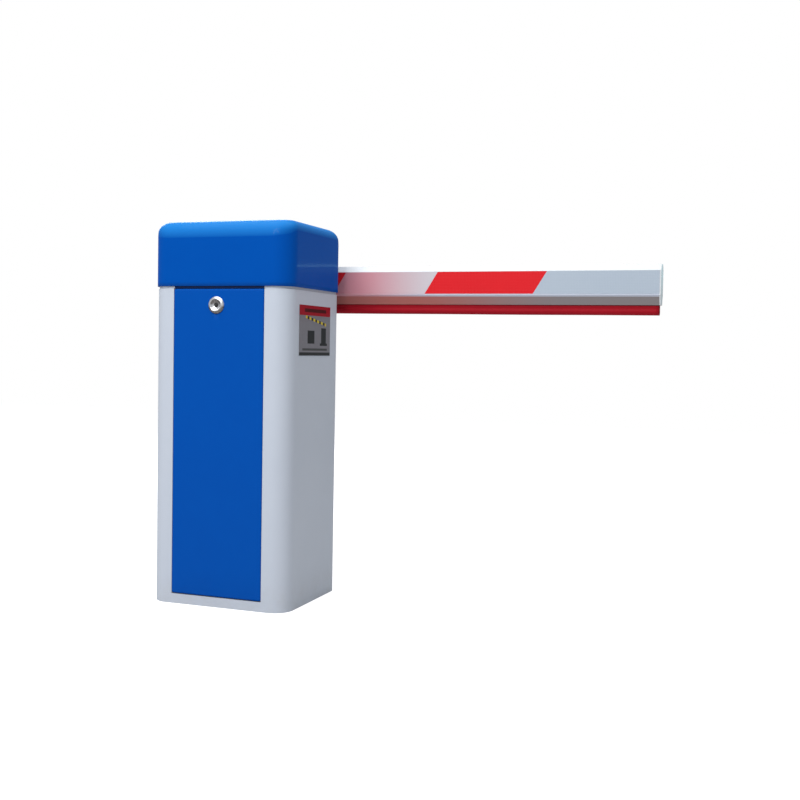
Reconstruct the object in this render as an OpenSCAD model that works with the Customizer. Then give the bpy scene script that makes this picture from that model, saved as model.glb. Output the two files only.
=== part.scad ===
// Parking barrier gate: a steel cabinet with a lift-off hood and a tilt-out door, and a
// motor drive that raises a short aluminium boom behind the cabinet.
// Millimetres. +X along the boom, -Y the door side, +Z up. The origin is the middle of the
// cabinet's foot, on the ground.

/* [Cabinet] */
// Width of the cabinet across its front
cabinet_w = 375; // [340:5:460]
// Depth of the cabinet from front to back
cabinet_d = 320; // [310:5:400]
// Height to the top of the hood
cabinet_h = 950; // [930:5:1150]
// Height of the hood above its seam
hood_h = 163; // [155:1:200]
// Thickness of the cabinet, hood and door sheet
sheet = 2; // [1.5:0.5:3]
// Radius of the front upright corners
front_r = 46; // [30:1:56]
// Radius of the rear upright corners
rear_r = 38; // [30:1:56]
// Radius of the hood's front and rear top edges
roll_r = 46; // [30:1:56]
// Radius of the hood's side top edges
side_edge_r = 28; // [6:1:40]
// Open shadow line under the hood
seam_gap = 6; // [3:1:10]
// Thickness of the foot plate
base_t = 5; // [4:1:10]

/* [Ground anchors] */
// Distance between anchor bolts across the front
anchor_x = 260; // [220:5:270]
// Distance between anchor bolts from front to back
anchor_y = 210; // [180:5:210]
// Diameter of the anchor holes
anchor_d = 14; // [10:1:18]
// Diameter of the cable entry in the foot
cable_d = 50; // [30:1:60]

/* [Door] */
// Width of the door
door_w = 244; // [200:2:256]
// Height of the door's lower edge above the ground
door_z = 27.5; // [26:0.5:60]
// Depth of the door's folded edges
door_depth = 17; // [15:1:20]
// Gap at the door's sides
door_gap = 2; // [1.5:0.5:4]
// Diameter of the lock's ring
lock_d = 44; // [34:1:50]
// Distance of the lock below the seam
lock_drop = 46; // [44:1:60]
// Sideways place of the lock
lock_x = -5; // [-30:1:30]

/* [Boom] */
// Length of the boom from the shaft to its free end
boom_l = 1010; // [700:10:3000]
// Height of the boom extrusion
boom_h = 100; // [80:1:110]
// Thickness of the boom extrusion
boom_t = 45; // [35:1:60]
// Wall of the boom extrusion
boom_wall = 2.5; // [2:0.5:4]
// Height of the rubber edge under the boom
rubber_h = 25; // [15:1:35]
// Height of the sloping face at the top of the boom
bevel_h = 15; // [8:1:20]
// Height of the sloping face above the rubber edge
skirt_h = 23; // [15:1:28]
// Length of the coloured stripe
stripe_l = 287; // [150:1:320]
// Start of the coloured stripe at its lower corner
stripe_x = 408; // [350:1:420]
// Sideways lean of the stripe over its height
stripe_lean = 35; // [0:1:60]

/* [Drive] */
// Height of the main shaft above the hood's seam
shaft_rise = 23; // [20:1:30]
// Diameter of the main shaft
shaft_d = 36; // [30:1:38]
// Distance from the main shaft down to the gearbox shaft
link_l = 210; // [200:1:230]
// Radius of the crank and of the drive arm
crank_r = 60; // [54:1:62]
// Number of teeth on the worm wheel
wheel_teeth = 30; // [20:1:40]
// Diameter of the motor casing
motor_d = 100; // [80:1:104]

/* [Balance] */
// Radius of the spring lever
lever_r = 75; // [65:1:80]
// Outer diameter of each balance spring
spring_d = 36; // [28:1:38]
// Diameter of the spring wire
spring_wire = 5; // [3:0.5:6]
// Distance between the two balance springs
spring_gap = 44; // [42:1:48]
// Rise of one turn of a spring
spring_pitch = 12; // [10:1:16]

/* [Fits] */
// Radial clearance of a turning shaft in its bore
run_fit = 0.05; // [0.03:0.01:0.1]
// Radial clearance of a bolt in its hole
bolt_fit = 0.25; // [0.15:0.05:0.5]
// Clearance between pieces that move past each other
move_gap = 0.5; // [0.4:0.1:1]

/* [Hidden] */
$fn = 64;
half_w = cabinet_w / 2;
half_d = cabinet_d / 2;
seam_z = cabinet_h - hood_h;
shell_top = seam_z - seam_gap;
inner_x = half_w - sheet;
inner_front = -half_d + sheet;
inner_rear = half_d - sheet;

// Hood: it stands proud of the shell by its sheet and a moving gap.
hood_proud = sheet + move_gap;
ledge_top = seam_z + 13;
ledge_z = seam_z - 27;
tab_l = 26;
tab_w = 24;
tab_t = 3;
hood_pin_r = 3;
hood_tab_x = half_w - 30;
hood_tab_y = [-half_d + front_r + 20, half_d - rear_r - 20];

// Door and its opening
door_top = seam_z - 8;
open_x = door_w / 2 + door_gap;
open_z = door_z - 3.5;
frame_t = 2;
frame_y = -half_d + 22;
flange_w = 14;
pin_y = -half_d + 6.5;
pin_z = door_z + 6.5;
hinge_pin_r = 3;
hinge_pin_l = 14;
lock_z = seam_z - lock_drop;
barrel_r = 11;
plug_r = 6;
cam_y = frame_y + 2.5;
cam_l = 30;

// Places along the main shaft, from the rear wall forwards
shaft_z = seam_z + shaft_rise;
shaft_r = shaft_d / 2;
plate_t = 8;
rear_in = half_d - 40;
lever_y1 = rear_in - 16;
lever_y0 = lever_y1 - 26;
lever_t = 8;
link_gap = 4;
link_t = 12;
arm_y1 = lever_y0 - link_gap;
arm_y0 = arm_y1 - link_t;
rod_y1 = arm_y0 - link_gap;
rod_y0 = rod_y1 - link_t;
crank_y1 = rod_y0 - link_gap;
crank_y0 = crank_y1 - link_t;
gear_y1 = crank_y0 - link_gap;
gear_y0 = gear_y1 - 76;
front_out = gear_y0 - plate_t;
bearing_l = 22;
flag_y1 = front_out - bearing_l - 6;
flag_t = 5;
shaft_y0 = flag_y1 - flag_t - 5;

// Linkage: crank and drive arm start 45 degrees below level
out_z = shaft_z - link_l;
half_turn = 45;
pin_r = 8;
eye_r = 15;
open_fit = 0.3;
arm_x = crank_r * cos(half_turn);
arm_drop = crank_r * sin(half_turn);
hub_r = 30;

// Chassis
chassis_top = shaft_z + 70;
floor_t = 8;
floor_z = out_z - 112;
chassis_x0 = -130;
chassis_x1 = 110;
tie_r = 8;
tie_places = [[chassis_x0 + 12, floor_z + 32], [chassis_x0 + 12, shaft_z - 10],
              [chassis_x1 - 12, floor_z + 32], [chassis_x1 - 12, shaft_z + 30]];
foot_w = 32;
foot_x = [chassis_x0 + 22, chassis_x1 - 22];
rail_w = 44;
rail_t = 4;
floor_y0 = front_out - foot_w - 5;
rear_foot_w = 26;
rear_foot_y1 = rear_in + plate_t + rear_foot_w;
foot_bolt_y = [front_out - foot_w / 2, rear_foot_y1 - rear_foot_w / 2];
rail_x = inner_x - rail_w / 2 - 4;
rail_bolt_y = [-half_d + front_r + 30, half_d - rear_r - 30];
bolt_r = 5;

// Bearings
flange_half = 46;
flange_t = 10;
bearing_bolt = 34;
bearing_boss_r = 34;

// Stops: rubber sleeves on posts, tangent to the drive arm's edges at both ends of its travel
bumper_r = 14;
post_r = 9;
bumper_gap = 0.3;
stop_along = 52;
web_inset = 0.2;
arm_lean = acos((hub_r - eye_r) / crank_r);
stop_across = (hub_r - web_inset + bumper_r + bumper_gap - stop_along * cos(arm_lean)) / sin(arm_lean);
stop_x = (stop_along - stop_across) * cos(half_turn);
stop_rise = (stop_along + stop_across) * sin(half_turn);

// Gearbox and motor
wheel_r = 33;
tooth_h = 4;
worm_r = 11.5;
mesh_gap = 0.5;
worm_x = wheel_r + worm_r + mesh_gap;
gear_mid = (gear_y0 + gear_y1) / 2;
box_wall = 8;
box_x0 = -wheel_r - 15;
box_x1 = worm_x + worm_r + 2 + box_wall;
box_half_h = 60;
cover_t = 8;
output_r = 12;
rotor_r = 8;
motor_top = floor_z - floor_t - 10;
motor_l = 150;
motor_z = motor_top - motor_l;
motor_r = motor_d / 2;
stator_wall = 20;
cowl_l = 50;
adapter_r = 29;
wheel_z = out_z + box_half_h + 30;
knob_r = 34;

// Spring lever, hanger and springs
lever_dx = lever_r * cos(half_turn);
lever_dz = lever_r * sin(half_turn);
lever_mid = (lever_y0 + lever_y1) / 2;
lever_pin_r = 7;
hanger_l = 120;
hanger_t = 9;
bar_r = 5;
bar_z = shaft_z + lever_dz - hanger_l;
ring_z = 296;
eye_ring_r = 9.5;
eye_wire = 3.5;
spring_xs = [-lever_dx - spring_gap / 2, -lever_dx + spring_gap / 2];
coil_r = (spring_d - spring_wire) / 2;
loop_r = 9;
loop_clear = 0.5;
anchor_top = 120;
anchor_t = 6;
anchor_leg = 52;

// Control gear on a tray behind the door
tray_y = -half_d + 90;
tray_t = 2;
tray_z0 = 150;
tray_z1 = 430;
box_depth = 56;
box_w = 170;
box_h = 120;
box_z = 290;
box_x = -30;
lid_t = 4;
rail_y = tray_y - 8;
rail_z = 220;
breaker_x = open_x - flange_w - 16;
toggle_r = 5;
toggle_w = 25;
toggle_in = 47;

// Boom
boom_y = half_d + 34;
boom_tail = 100;
hub_t = 12;
clamp_t = 10;
clamp_half = 90;
clamp_z = boom_h / 2 + 25;
clamp_bolt_x = 60;
clamp_bolt_z = boom_h / 2 + 14;
lip_t = 5;
fit_gap = 0.3;
film_t = 0.4;
crown_in = 10;
skirt_in = 9;
ridge_h = 4;
ridge_out = 1.5;
rib_z = -boom_h / 2 + skirt_h;
rubber_w = 22;
seal_out = 3;
film_z0 = rib_z + ridge_h + 0.5;
film_z1 = boom_h / 2 - bevel_h - 1;

// ---- Shared shapes ----

// Box between two corners
module block(x0, x1, y0, y1, z0, z1) {
  translate([x0, y0, z0]) cube([x1 - x0, y1 - y0, z1 - z0]);
}

// Cylinders along Y, Z and X, between two places on that axis
module rod_y(r, y0, y1) {
  translate([0, y0, 0]) rotate([-90, 0, 0]) cylinder(r = r, h = y1 - y0);
}
module rod_z(r, z0, z1) {
  translate([0, 0, z0]) cylinder(r = r, h = z1 - z0);
}
module rod_x(r, x0, x1) {
  translate([x0, 0, 0]) rotate([0, 90, 0]) cylinder(r = r, h = x1 - x0);
}

// A flat outline in X and Z, given thickness along Y
module slab_y(y0, y1) {
  translate([0, y1, 0]) rotate([90, 0, 0]) linear_extrude(y1 - y0) children();
}

// A flat outline in Y and Z, given thickness along X
module slab_x(x0, x1) {
  translate([x0, 0, 0]) rotate([90, 0, 90]) linear_extrude(x1 - x0) children();
}

// Hexagon bolt along Y: the head starts at y0 and points towards -Y
module hex_bolt_y(r, y0, l) {
  translate([0, y0 - 1.3 * r, 0]) rotate([-90, 0, 0]) cylinder(r = 1.9 * r, h = 1.3 * r, $fn = 6);
  rod_y(r, y0 - 0.1, y0 + l);
}

// Hexagon bolt along Z: the head sits on z0, the shank goes down
module hex_bolt_z(r, z0, l) {
  translate([0, 0, z0]) cylinder(r = 1.9 * r, h = 1.3 * r, $fn = 6);
  rod_z(r, z0 - l, z0 + 0.1);
}

// Plan of the cabinet, moved outwards by grow
module plan(grow) {
  w = half_w + grow;
  d = half_d + grow;
  f = front_r + grow;
  b = rear_r + grow;
  polygon([[-w + f, -d], [w - f, -d], [w, -d + f], [w, d - b],
           [w - b, d], [-w + b, d], [-w, d - b], [-w, -d + f]]);
  for (side = [-1, 1]) {
    translate([side * (w - f), -d + f]) circle(r = f);
    translate([side * (w - b), d - b]) circle(r = b);
  }
}

// A rectangle from its two corners
module patch(x0, x1, z0, z1) {
  translate([x0, z0]) square([x1 - x0, z1 - z0]);
}

// An arm outline from a round end at the middle to a round end at distance l.
// The web's edges lie just inside the two circles' common tangents, so they cross the circles cleanly.
module arm_outline(r0, r1, l) {
  lean = acos((r0 - r1) / l);
  a = (r0 - web_inset) * [cos(lean), sin(lean)];
  b = [l, 0] + (r1 - web_inset) * [cos(lean), sin(lean)];
  circle(r = r0);
  translate([l, 0]) circle(r = r1);
  polygon([a, b, [b[0], -b[1]], [a[0], -a[1]]]);
}

// ---- Cabinet ----

module base_plate() {
  color("dimgray") difference() {
    linear_extrude(base_t) plan(-sheet);
    for (x = [-1, 1], y = [-1, 1])
      translate([x * anchor_x / 2, y * anchor_y / 2, 0]) rod_z(anchor_d / 2, -1, base_t + 1);
    rod_z(cable_d / 2, -1, base_t + 1);
  }
}

// Thick pads that spread the load of the anchor bolts
module anchor_pads() {
  pad = 22;
  color("silver") for (x = [-1, 1], y = [-1, 1])
    translate([x * anchor_x / 2, y * anchor_y / 2, base_t]) difference() {
      block(-pad, pad, -pad, pad, 0, 8);
      rod_z(anchor_d / 2, -1, 9);
    }
}

// Rubber ring that lines the cable entry
module cable_grommet() {
  lip = 4;
  color("black") rotate_extrude() polygon([
    [cable_d / 2 - lip, 0.5], [cable_d / 2, 0.5], [cable_d / 2, base_t],
    [cable_d / 2 + lip, base_t], [cable_d / 2 + lip, base_t + 3], [cable_d / 2 - lip, base_t + 3]]);
}

module cabinet_shell() {
  tongue = 62;
  color("gainsboro") difference() {
    union() {
      linear_extrude(shell_top) difference() {
        plan(0);
        plan(-sheet);
      }
      // Upstand of the rear wall round the shaft
      block(-tongue, tongue, inner_rear, half_d, shell_top - 1, shaft_z + 58);
    }
    block(-open_x, open_x, -half_d - 1, inner_front + 1, open_z, shell_top + 1);
    translate([0, 0, shaft_z]) rod_y(shaft_r + 6, inner_rear - 1, half_d + 1);
  }
}

// Folded frame round the door opening, its sill and the two hinge pins
module door_frame() {
  side_y1 = frame_y + frame_t;
  color("gainsboro") {
    for (side = [-1, 1]) {
      x0 = side > 0 ? open_x : -open_x - frame_t;
      block(x0, x0 + frame_t, inner_front, side_y1, open_z, shell_top);
      f0 = side > 0 ? open_x - flange_w : -open_x;
      block(f0, f0 + flange_w, frame_y, side_y1, pin_z + 6, shell_top);
      p0 = side > 0 ? open_x - hinge_pin_l : -open_x - 1;
      translate([0, pin_y, pin_z]) rod_x(hinge_pin_r, p0, p0 + hinge_pin_l + 1);
    }
    block(-open_x, open_x, frame_y, side_y1, door_top - 22, shell_top);
    block(-open_x - frame_t, open_x + frame_t, inner_front, side_y1, open_z - frame_t, open_z);
  }
}

module door_gasket() {
  y0 = frame_y - 4;
  inset = 2;
  color("black") slab_y(y0, frame_y) difference() {
    patch(-open_x + inset, open_x - inset, pin_z + 6, door_top);
    patch(-open_x + flange_w - inset, open_x - flange_w + inset, pin_z + 5, door_top - 12);
  }
}

// Inner ring that carries and centres the hood, with four drilled tabs
module hood_ledge() {
  color("silver") difference() {
    union() {
      translate([0, 0, ledge_z]) linear_extrude(ledge_top - ledge_z) difference() {
        plan(-sheet);
        plan(-2 * sheet);
      }
      for (side = [-1, 1], y = hood_tab_y) {
        x0 = side > 0 ? half_w - 2 * sheet - tab_l : -half_w + 2 * sheet;
        block(x0, x0 + tab_l, y - tab_w / 2, y + tab_w / 2, ledge_top - tab_t, ledge_top);
      }
    }
    block(-open_x - 2, open_x + 2, -half_d, frame_y + 4, ledge_z - 1, shell_top + 1);
    translate([0, 0, shaft_z]) rod_y(shaft_r + 12, inner_rear - 10, half_d + 1);
    for (side = [-1, 1], y = hood_tab_y)
      translate([side * (hood_tab_x + 12), y, 0]) rod_z(hood_pin_r + bolt_fit, ledge_z, ledge_top + 1);
  }
}

// ---- Hood ----

// Solid form of the hood, moved outwards by grow: plan, side and front outlines together
module hood_form(grow) {
  top = cabinet_h + grow;
  d = half_d + hood_proud + grow;
  w = half_w + hood_proud + grow;
  r = roll_r + grow;
  e = side_edge_r + grow;
  z0 = seam_z;
  intersection() {
    translate([0, 0, z0]) linear_extrude(top - z0) plan(hood_proud + grow);
    slab_x(-w, w) {
      polygon([[-d, z0], [d, z0], [d, top - r], [d - r, top], [-d + r, top], [-d, top - r]]);
      for (side = [-1, 1]) translate([side * (d - r), top - r]) circle(r = r);
    }
    slab_y(-d, d) {
      polygon([[-w, z0], [w, z0], [w, top - e], [w - e, top], [-w + e, top], [-w, top - e]]);
      for (side = [-1, 1]) translate([side * (w - e), top - e]) circle(r = e);
    }
  }
}

module hood() {
  slot_r = shaft_r + 12;
  color("royalblue") difference() {
    hood_form(0);
    translate([0, 0, -1]) hood_form(-sheet);
    block(-half_w + 5, half_w - 5, -half_d + 5, half_d - 5, seam_z - 2, seam_z + 1);
    // Open slot over the shaft
    slab_y(half_d - 1, half_d + hood_proud + 1) {
      translate([0, shaft_z]) circle(r = slot_r);
      patch(-slot_r, slot_r, seam_z - 2, shaft_z);
    }
  }
}

// Angles inside the hood that rest on the ledge's tabs, with locating pins
module hood_brackets() {
  leg = 30;
  color("silver") for (side = [-1, 1], y = hood_tab_y) {
    wall = side * (half_w + move_gap);
    foot0 = side > 0 ? wall - 2 * sheet - tab_l + 6 : wall;
    foot1 = side > 0 ? wall : wall + 2 * sheet + tab_l - 6;
    block(foot0, foot1, y - 10, y + 10, ledge_top, ledge_top + tab_t);
    leg0 = side > 0 ? wall - tab_t : wall;
    block(leg0, leg0 + tab_t, y - 10, y + 10, ledge_top, ledge_top + leg);
    translate([side * (hood_tab_x + 12), y, 0]) rod_z(hood_pin_r, ledge_top - 12, ledge_top + 1);
  }
}

// ---- Door ----

module door_panel() {
  w = door_w / 2;
  color("royalblue") difference() {
    block(-w, w, -half_d, -half_d + door_depth, door_z, door_top);
    block(-w + sheet, w - sheet, inner_front, -half_d + door_depth + 1,
          door_z + sheet, door_top - sheet);
    translate([lock_x, 0, lock_z]) rod_y(barrel_r, -half_d - 1, inner_front + 1);
    translate([0, pin_y, pin_z]) rod_x(hinge_pin_r + run_fit, -w - 1, w + 1);
  }
}

// Two upright stiffeners, and the bushes that turn on the hinge pins
module door_brackets() {
  x = door_w / 2 - 44;
  rib_w = 30;
  bush_l = 8;
  rib_d = door_depth - sheet - 1;
  z0 = pin_z + 20;
  z1 = door_top - 24;
  color("silver") {
    for (side = [-1, 1]) translate([side * x, 0, 0]) difference() {
      block(-rib_w / 2, rib_w / 2, inner_front, inner_front + rib_d, z0, z1);
      block(-rib_w / 2 + 2, rib_w / 2 - 2, inner_front - 1, inner_front + rib_d - 2, z0 - 1, z1 + 1);
    }
    for (side = [-1, 1]) {
      b0 = side > 0 ? door_w / 2 - sheet - bush_l : -door_w / 2 + sheet;
      difference() {
        block(b0, b0 + bush_l, inner_front, pin_y + 5, door_z + sheet, pin_z + 5);
        translate([0, pin_y, pin_z]) rod_x(hinge_pin_r + run_fit, b0 - 1, b0 + bush_l + 1);
      }
    }
  }
}

// Chromed ring with a dished face, its barrel and the nut behind the door
module lock_housing() {
  r = lock_d / 2;
  back = cam_y - 1;
  color("silver") translate([lock_x, 0, lock_z]) difference() {
    union() {
      rotate([-90, 0, 0]) translate([0, 0, -half_d]) rotate_extrude() polygon([
        [0, -2], [plug_r + 4, -2], [plug_r + 6, -3], [r - 6, -7], [r - 3, -6.6],
        [r - 0.8, -4.5], [r, -2], [r, 0], [0, 0]]);
      rod_y(barrel_r, -half_d, back);
      translate([0, inner_front, 0]) rotate([-90, 0, 0]) cylinder(r = 17, h = 6, $fn = 6);
    }
    rod_y(plug_r + run_fit, -half_d - 10, back + 1);
  }
}

// Lock plug with its key slot, and the cam on its rear end, drawn unlocked
module lock_plug() {
  color("dimgray") translate([lock_x, 0, lock_z]) {
    difference() {
      rod_y(plug_r, -half_d - 1.5, cam_y + 1);
      block(-1, 1, -half_d - 3, -half_d + 4, -4, 4);
    }
    slab_y(cam_y, cam_y + 3) {
      circle(r = 10);
      patch(0, cam_l, -6, 6);
    }
    translate([0, cam_y + 2, 0]) rotate([-90, 0, 0]) cylinder(r = 7, h = 5, $fn = 6);
  }
}

// ---- Chassis ----

module chassis_rails() {
  y0 = -half_d + front_r;
  y1 = half_d - rear_r;
  z1 = floor_z - floor_t;
  color("gray") for (side = [-1, 1]) difference() {
    union() {
      x0 = side > 0 ? inner_x - rail_t : -inner_x;
      block(x0, x0 + rail_t, y0, y1, z1 - rail_w, z1);
      f0 = side > 0 ? inner_x - rail_w : -inner_x;
      block(f0, f0 + rail_w, y0, y1, z1 - rail_t, z1);
    }
    for (y = rail_bolt_y)
      translate([side * rail_x, y, 0]) rod_z(bolt_r + bolt_fit, z1 - rail_t - 1, z1 + 1);
  }
}

module chassis_floor() {
  z0 = floor_z - floor_t;
  color("gray") difference() {
    union() {
      block(-inner_x + rail_t + 2, inner_x - rail_t - 2, floor_y0, half_d - rear_r, z0, floor_z);
      block(-half_w + rear_r, half_w - rear_r, floor_y0 + 1, rear_foot_y1, z0, floor_z);
    }
    // Way through for the springs, and for the motor's neck
    block(spring_xs[0] - spring_d / 2 - 26, spring_xs[1] + spring_d / 2 + 6,
          lever_mid - spring_d / 2 - 4, lever_mid + spring_d / 2 + 4, z0 - 1, floor_z + 1);
    translate([worm_x, gear_mid, 0]) rod_z(adapter_r + 2, z0 - 1, floor_z + 1);
    for (side = [-1, 1], y = rail_bolt_y)
      translate([side * rail_x, y, 0]) rod_z(bolt_r + bolt_fit, z0 - 1, floor_z + 1);
    for (x = foot_x, y = foot_bolt_y)
      translate([x, y, 0]) rod_z(bolt_r + bolt_fit, z0 - 1, floor_z + 1);
  }
}

// Upright plate with its foot, used at the front and at the rear
module chassis_plate(y0, foot_y0, foot_y1) {
  difference() {
    union() {
      block(chassis_x0, chassis_x1, y0, y0 + plate_t, floor_z, chassis_top);
      block(chassis_x0, chassis_x1, foot_y0, foot_y1, floor_z, floor_z + plate_t);
    }
    translate([0, 0, shaft_z]) rod_y(shaft_r + 5, y0 - 1, y0 + plate_t + 1);
    for (x = [-1, 1], z = [-1, 1]) translate([x * bearing_bolt, 0, shaft_z + z * bearing_bolt])
      rod_y(bolt_r + bolt_fit, y0 - 1, y0 + plate_t + 1);
    for (p = tie_places) translate([p[0], 0, p[1]]) rod_y(bolt_r + bolt_fit, y0 - 1, y0 + plate_t + 1);
    for (x = foot_x) translate([x, (foot_y0 + foot_y1) / 2, 0])
      rod_z(bolt_r + bolt_fit, floor_z - 1, floor_z + plate_t + 1);
    children();
  }
}

module chassis_front_plate() {
  color("slategray") chassis_plate(front_out, front_out - foot_w, front_out) {
    // Window for a hand on the handwheel
    block(4, chassis_x1 - 22, front_out - 1, gear_y0 + 1, wheel_z - 22, wheel_z + 34);
    for (x = [box_x0 + 12, box_x1 - 12], z = [-1, 1])
      translate([x, 0, out_z + z * (box_half_h - 12)]) rod_y(4 + bolt_fit, front_out - 1, gear_y0 + 1);
  }
}

module chassis_rear_plate() {
  window = 45;
  mid_z = (floor_z + shaft_z) / 2;
  color("slategray") chassis_plate(rear_in, rear_in + plate_t, rear_foot_y1) {
    for (s = [-1, 1]) translate([stop_x, 0, shaft_z + s * stop_rise])
      rod_y(6 + bolt_fit, rear_in - 1, rear_in + plate_t + 1);
    block(-window, window, rear_in - 1, rear_in + plate_t + 1, mid_z - window, mid_z + window);
  }
}

// Spacers between the plates, held by a bolt at each end
module tie_rods() {
  color("silver") for (p = tie_places) translate([p[0], 0, p[1]]) {
    rod_y(tie_r, gear_y0, rear_in);
    rod_y(bolt_r, front_out - 1, gear_y0 + 1);
    rod_y(bolt_r, rear_in - 1, rear_in + plate_t + 1);
    for (y = [front_out - 6, rear_in + plate_t])
      translate([0, y, 0]) rotate([-90, 0, 0]) cylinder(r = 9.5, h = 6, $fn = 6);
  }
}

module chassis_bolts() {
  bearing_grip = flange_t + plate_t + 2;
  color("silver") {
    // Bearing flanges
    for (x = [-1, 1], z = [-1, 1]) translate([x * bearing_bolt, 0, shaft_z + z * bearing_bolt]) {
      hex_bolt_y(bolt_r, front_out - flange_t, bearing_grip);
      mirror([0, 1, 0]) hex_bolt_y(bolt_r, -rear_in - plate_t - flange_t, bearing_grip);
    }
    // Gearbox
    for (x = [box_x0 + 12, box_x1 - 12], z = [-1, 1])
      translate([x, 0, out_z + z * (box_half_h - 12)]) hex_bolt_y(4, front_out, plate_t + 14);
    // Plate feet, and the floor on its rails
    for (x = foot_x, y = foot_bolt_y)
      translate([x, y, 0]) hex_bolt_z(bolt_r, floor_z + plate_t, plate_t + floor_t + 4);
    for (side = [-1, 1], y = rail_bolt_y)
      translate([side * rail_x, y, 0]) hex_bolt_z(bolt_r, floor_z, floor_t + rail_t + 8);
  }
}

// Square flanged bearing housing, its flange against the plate at y = 0
module flanged_bearing() {
  difference() {
    union() {
      slab_y(-flange_t, 0) difference() {
        patch(-flange_half, flange_half, -flange_half, flange_half);
        for (x = [-1, 1], z = [-1, 1]) translate([x * bearing_bolt, z * bearing_bolt])
          circle(r = bolt_r + bolt_fit);
      }
      rod_y(bearing_boss_r - 12, -bearing_l, -flange_t + 1);
      rod_y(bearing_boss_r - 7, -bearing_l + 6, -flange_t + 1);
    }
    rod_y(shaft_r + run_fit, -bearing_l - 1, 1);
  }
}

module shaft_bearings() {
  color("darkslategray") translate([0, 0, shaft_z]) {
    translate([0, front_out, 0]) flanged_bearing();
    translate([0, rear_in + plate_t, 0]) mirror([0, 1, 0]) flanged_bearing();
  }
}

module stop_posts() {
  color("silver") for (s = [-1, 1]) translate([stop_x, 0, shaft_z + s * stop_rise]) {
    rod_y(post_r, arm_y0 - 1, rear_in);
    rod_y(6, rear_in - 1, rear_in + plate_t + 1);
    translate([0, rear_in + plate_t, 0]) rotate([-90, 0, 0]) cylinder(r = 11, h = 6, $fn = 6);
  }
}

module stop_bumpers() {
  color("black") for (s = [-1, 1]) translate([stop_x, 0, shaft_z + s * stop_rise]) difference() {
    rod_y(bumper_r, arm_y0 - 1, arm_y1 + 1);
    rod_y(post_r, arm_y0 - 2, arm_y1 + 2);
  }
}

// ---- Gearbox and motor ----

module gearbox_housing() {
  open_y = gear_y1 - cover_t;
  color("silver") difference() {
    union() {
      block(box_x0, box_x1, gear_y0, open_y, out_z - box_half_h, out_z + box_half_h);
      translate([worm_x, gear_mid, 0]) rod_z(adapter_r, motor_top, out_z - box_half_h + 1);
    }
    block(box_x0 + box_wall, box_x1 - box_wall, gear_y0 + box_wall + 16, open_y + 1,
          out_z - box_half_h + box_wall, out_z + box_half_h - box_wall);
    // Blind journal for the output shaft
    translate([0, 0, out_z]) rod_y(output_r + run_fit, gear_y0 + 6, open_y);
    // Bores for the worm's shaft
    translate([worm_x, gear_mid, 0]) rod_z(rotor_r + run_fit, motor_top - 1, out_z + box_half_h + 1);
    for (x = [box_x0 + 12, box_x1 - 12], z = [-1, 1])
      translate([x, 0, out_z + z * (box_half_h - 12)]) rod_y(4 + bolt_fit, gear_y0 - 1, gear_y0 + 15);
  }
}

module gearbox_cover() {
  y0 = gear_y1 - cover_t;
  inset = 8;
  color("silver") difference() {
    union() {
      block(box_x0, box_x1, y0, gear_y1, out_z - box_half_h, out_z + box_half_h);
      // Spigot that centres the cover
      block(box_x0 + box_wall + 0.2, box_x1 - box_wall - 0.2, y0 - 3, y0 + 1,
            out_z - box_half_h + box_wall + 0.2, out_z + box_half_h - box_wall - 0.2);
      for (x = [box_x0 + inset, box_x1 - inset], z = [-1, 1])
        translate([x, gear_y1, out_z + z * (box_half_h - inset)]) rotate([-90, 0, 0])
          cylinder(r = 5, h = 2.5, $fn = 6);
    }
    translate([0, 0, out_z]) rod_y(output_r + run_fit, y0 - 4, gear_y1 + 1);
  }
}

module output_shaft() {
  color("lightgray") translate([0, 0, out_z]) rod_y(output_r, gear_y0 + 7, crank_y1);
}

// Gear outline: a flat-topped tooth on each step round the rim
module gear_outline(teeth, tip, root, bore) {
  step = 360 / teeth;
  difference() {
    polygon([for (i = [0:teeth - 1], k = [0:3])
      let (r = (k == 1 || k == 2) ? tip : root, a = (i + [0.02, 0.22, 0.48, 0.68][k]) * step)
      r * [cos(a), sin(a)]]);
    circle(r = bore);
  }
}

module worm_wheel() {
  color("peru") translate([0, 0, out_z]) slab_y(gear_mid - 10, gear_mid + 10)
    gear_outline(wheel_teeth, wheel_r, wheel_r - tooth_h, output_r);
}

// Motor shaft in one piece with the worm, the rotor core and the fan
module rotor_shaft() {
  worm_half = 26;
  turns = 6;
  step = 2 * worm_half / turns;
  core_r = motor_r - stator_wall - 1;
  color("lightgray") translate([worm_x, gear_mid, 0]) {
    rod_z(rotor_r, motor_z - cowl_l + 12, wheel_z + 8);
    rotate_extrude() {
      for (i = [0:turns - 1]) translate([0, out_z - worm_half + i * step])
        polygon([[0, 0], [worm_r - 3, 0], [worm_r, step * 0.3], [worm_r, step * 0.55],
                 [worm_r - 3, step * 0.85], [worm_r - 3, step], [0, step]]);
    }
    rod_z(core_r, motor_z + 20, motor_top - 20);
    rod_z(motor_r - 14, motor_z - 22, motor_z - 14);
  }
}

module motor_body() {
  fins = 20;
  color("steelblue") translate([worm_x, gear_mid, 0]) difference() {
    union() {
      rod_z(motor_r - 5, motor_z, motor_top);
      rod_z(motor_r, motor_z, motor_z + 12);
      rod_z(motor_r, motor_top - 12, motor_top);
      for (i = [0:fins - 1]) rotate(i * 360 / fins)
        block(motor_r - 8, motor_r, -1.2, 1.2, motor_z + 11, motor_top - 11);
      // Terminal box
      block(motor_r - 12, motor_r + 18, -24, 24, motor_z + 50, motor_z + 110);
    }
    rod_z(motor_r - stator_wall, motor_z + 12, motor_top - 12);
    rod_z(rotor_r + run_fit, motor_z - 1, motor_top + 1);
  }
}

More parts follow.
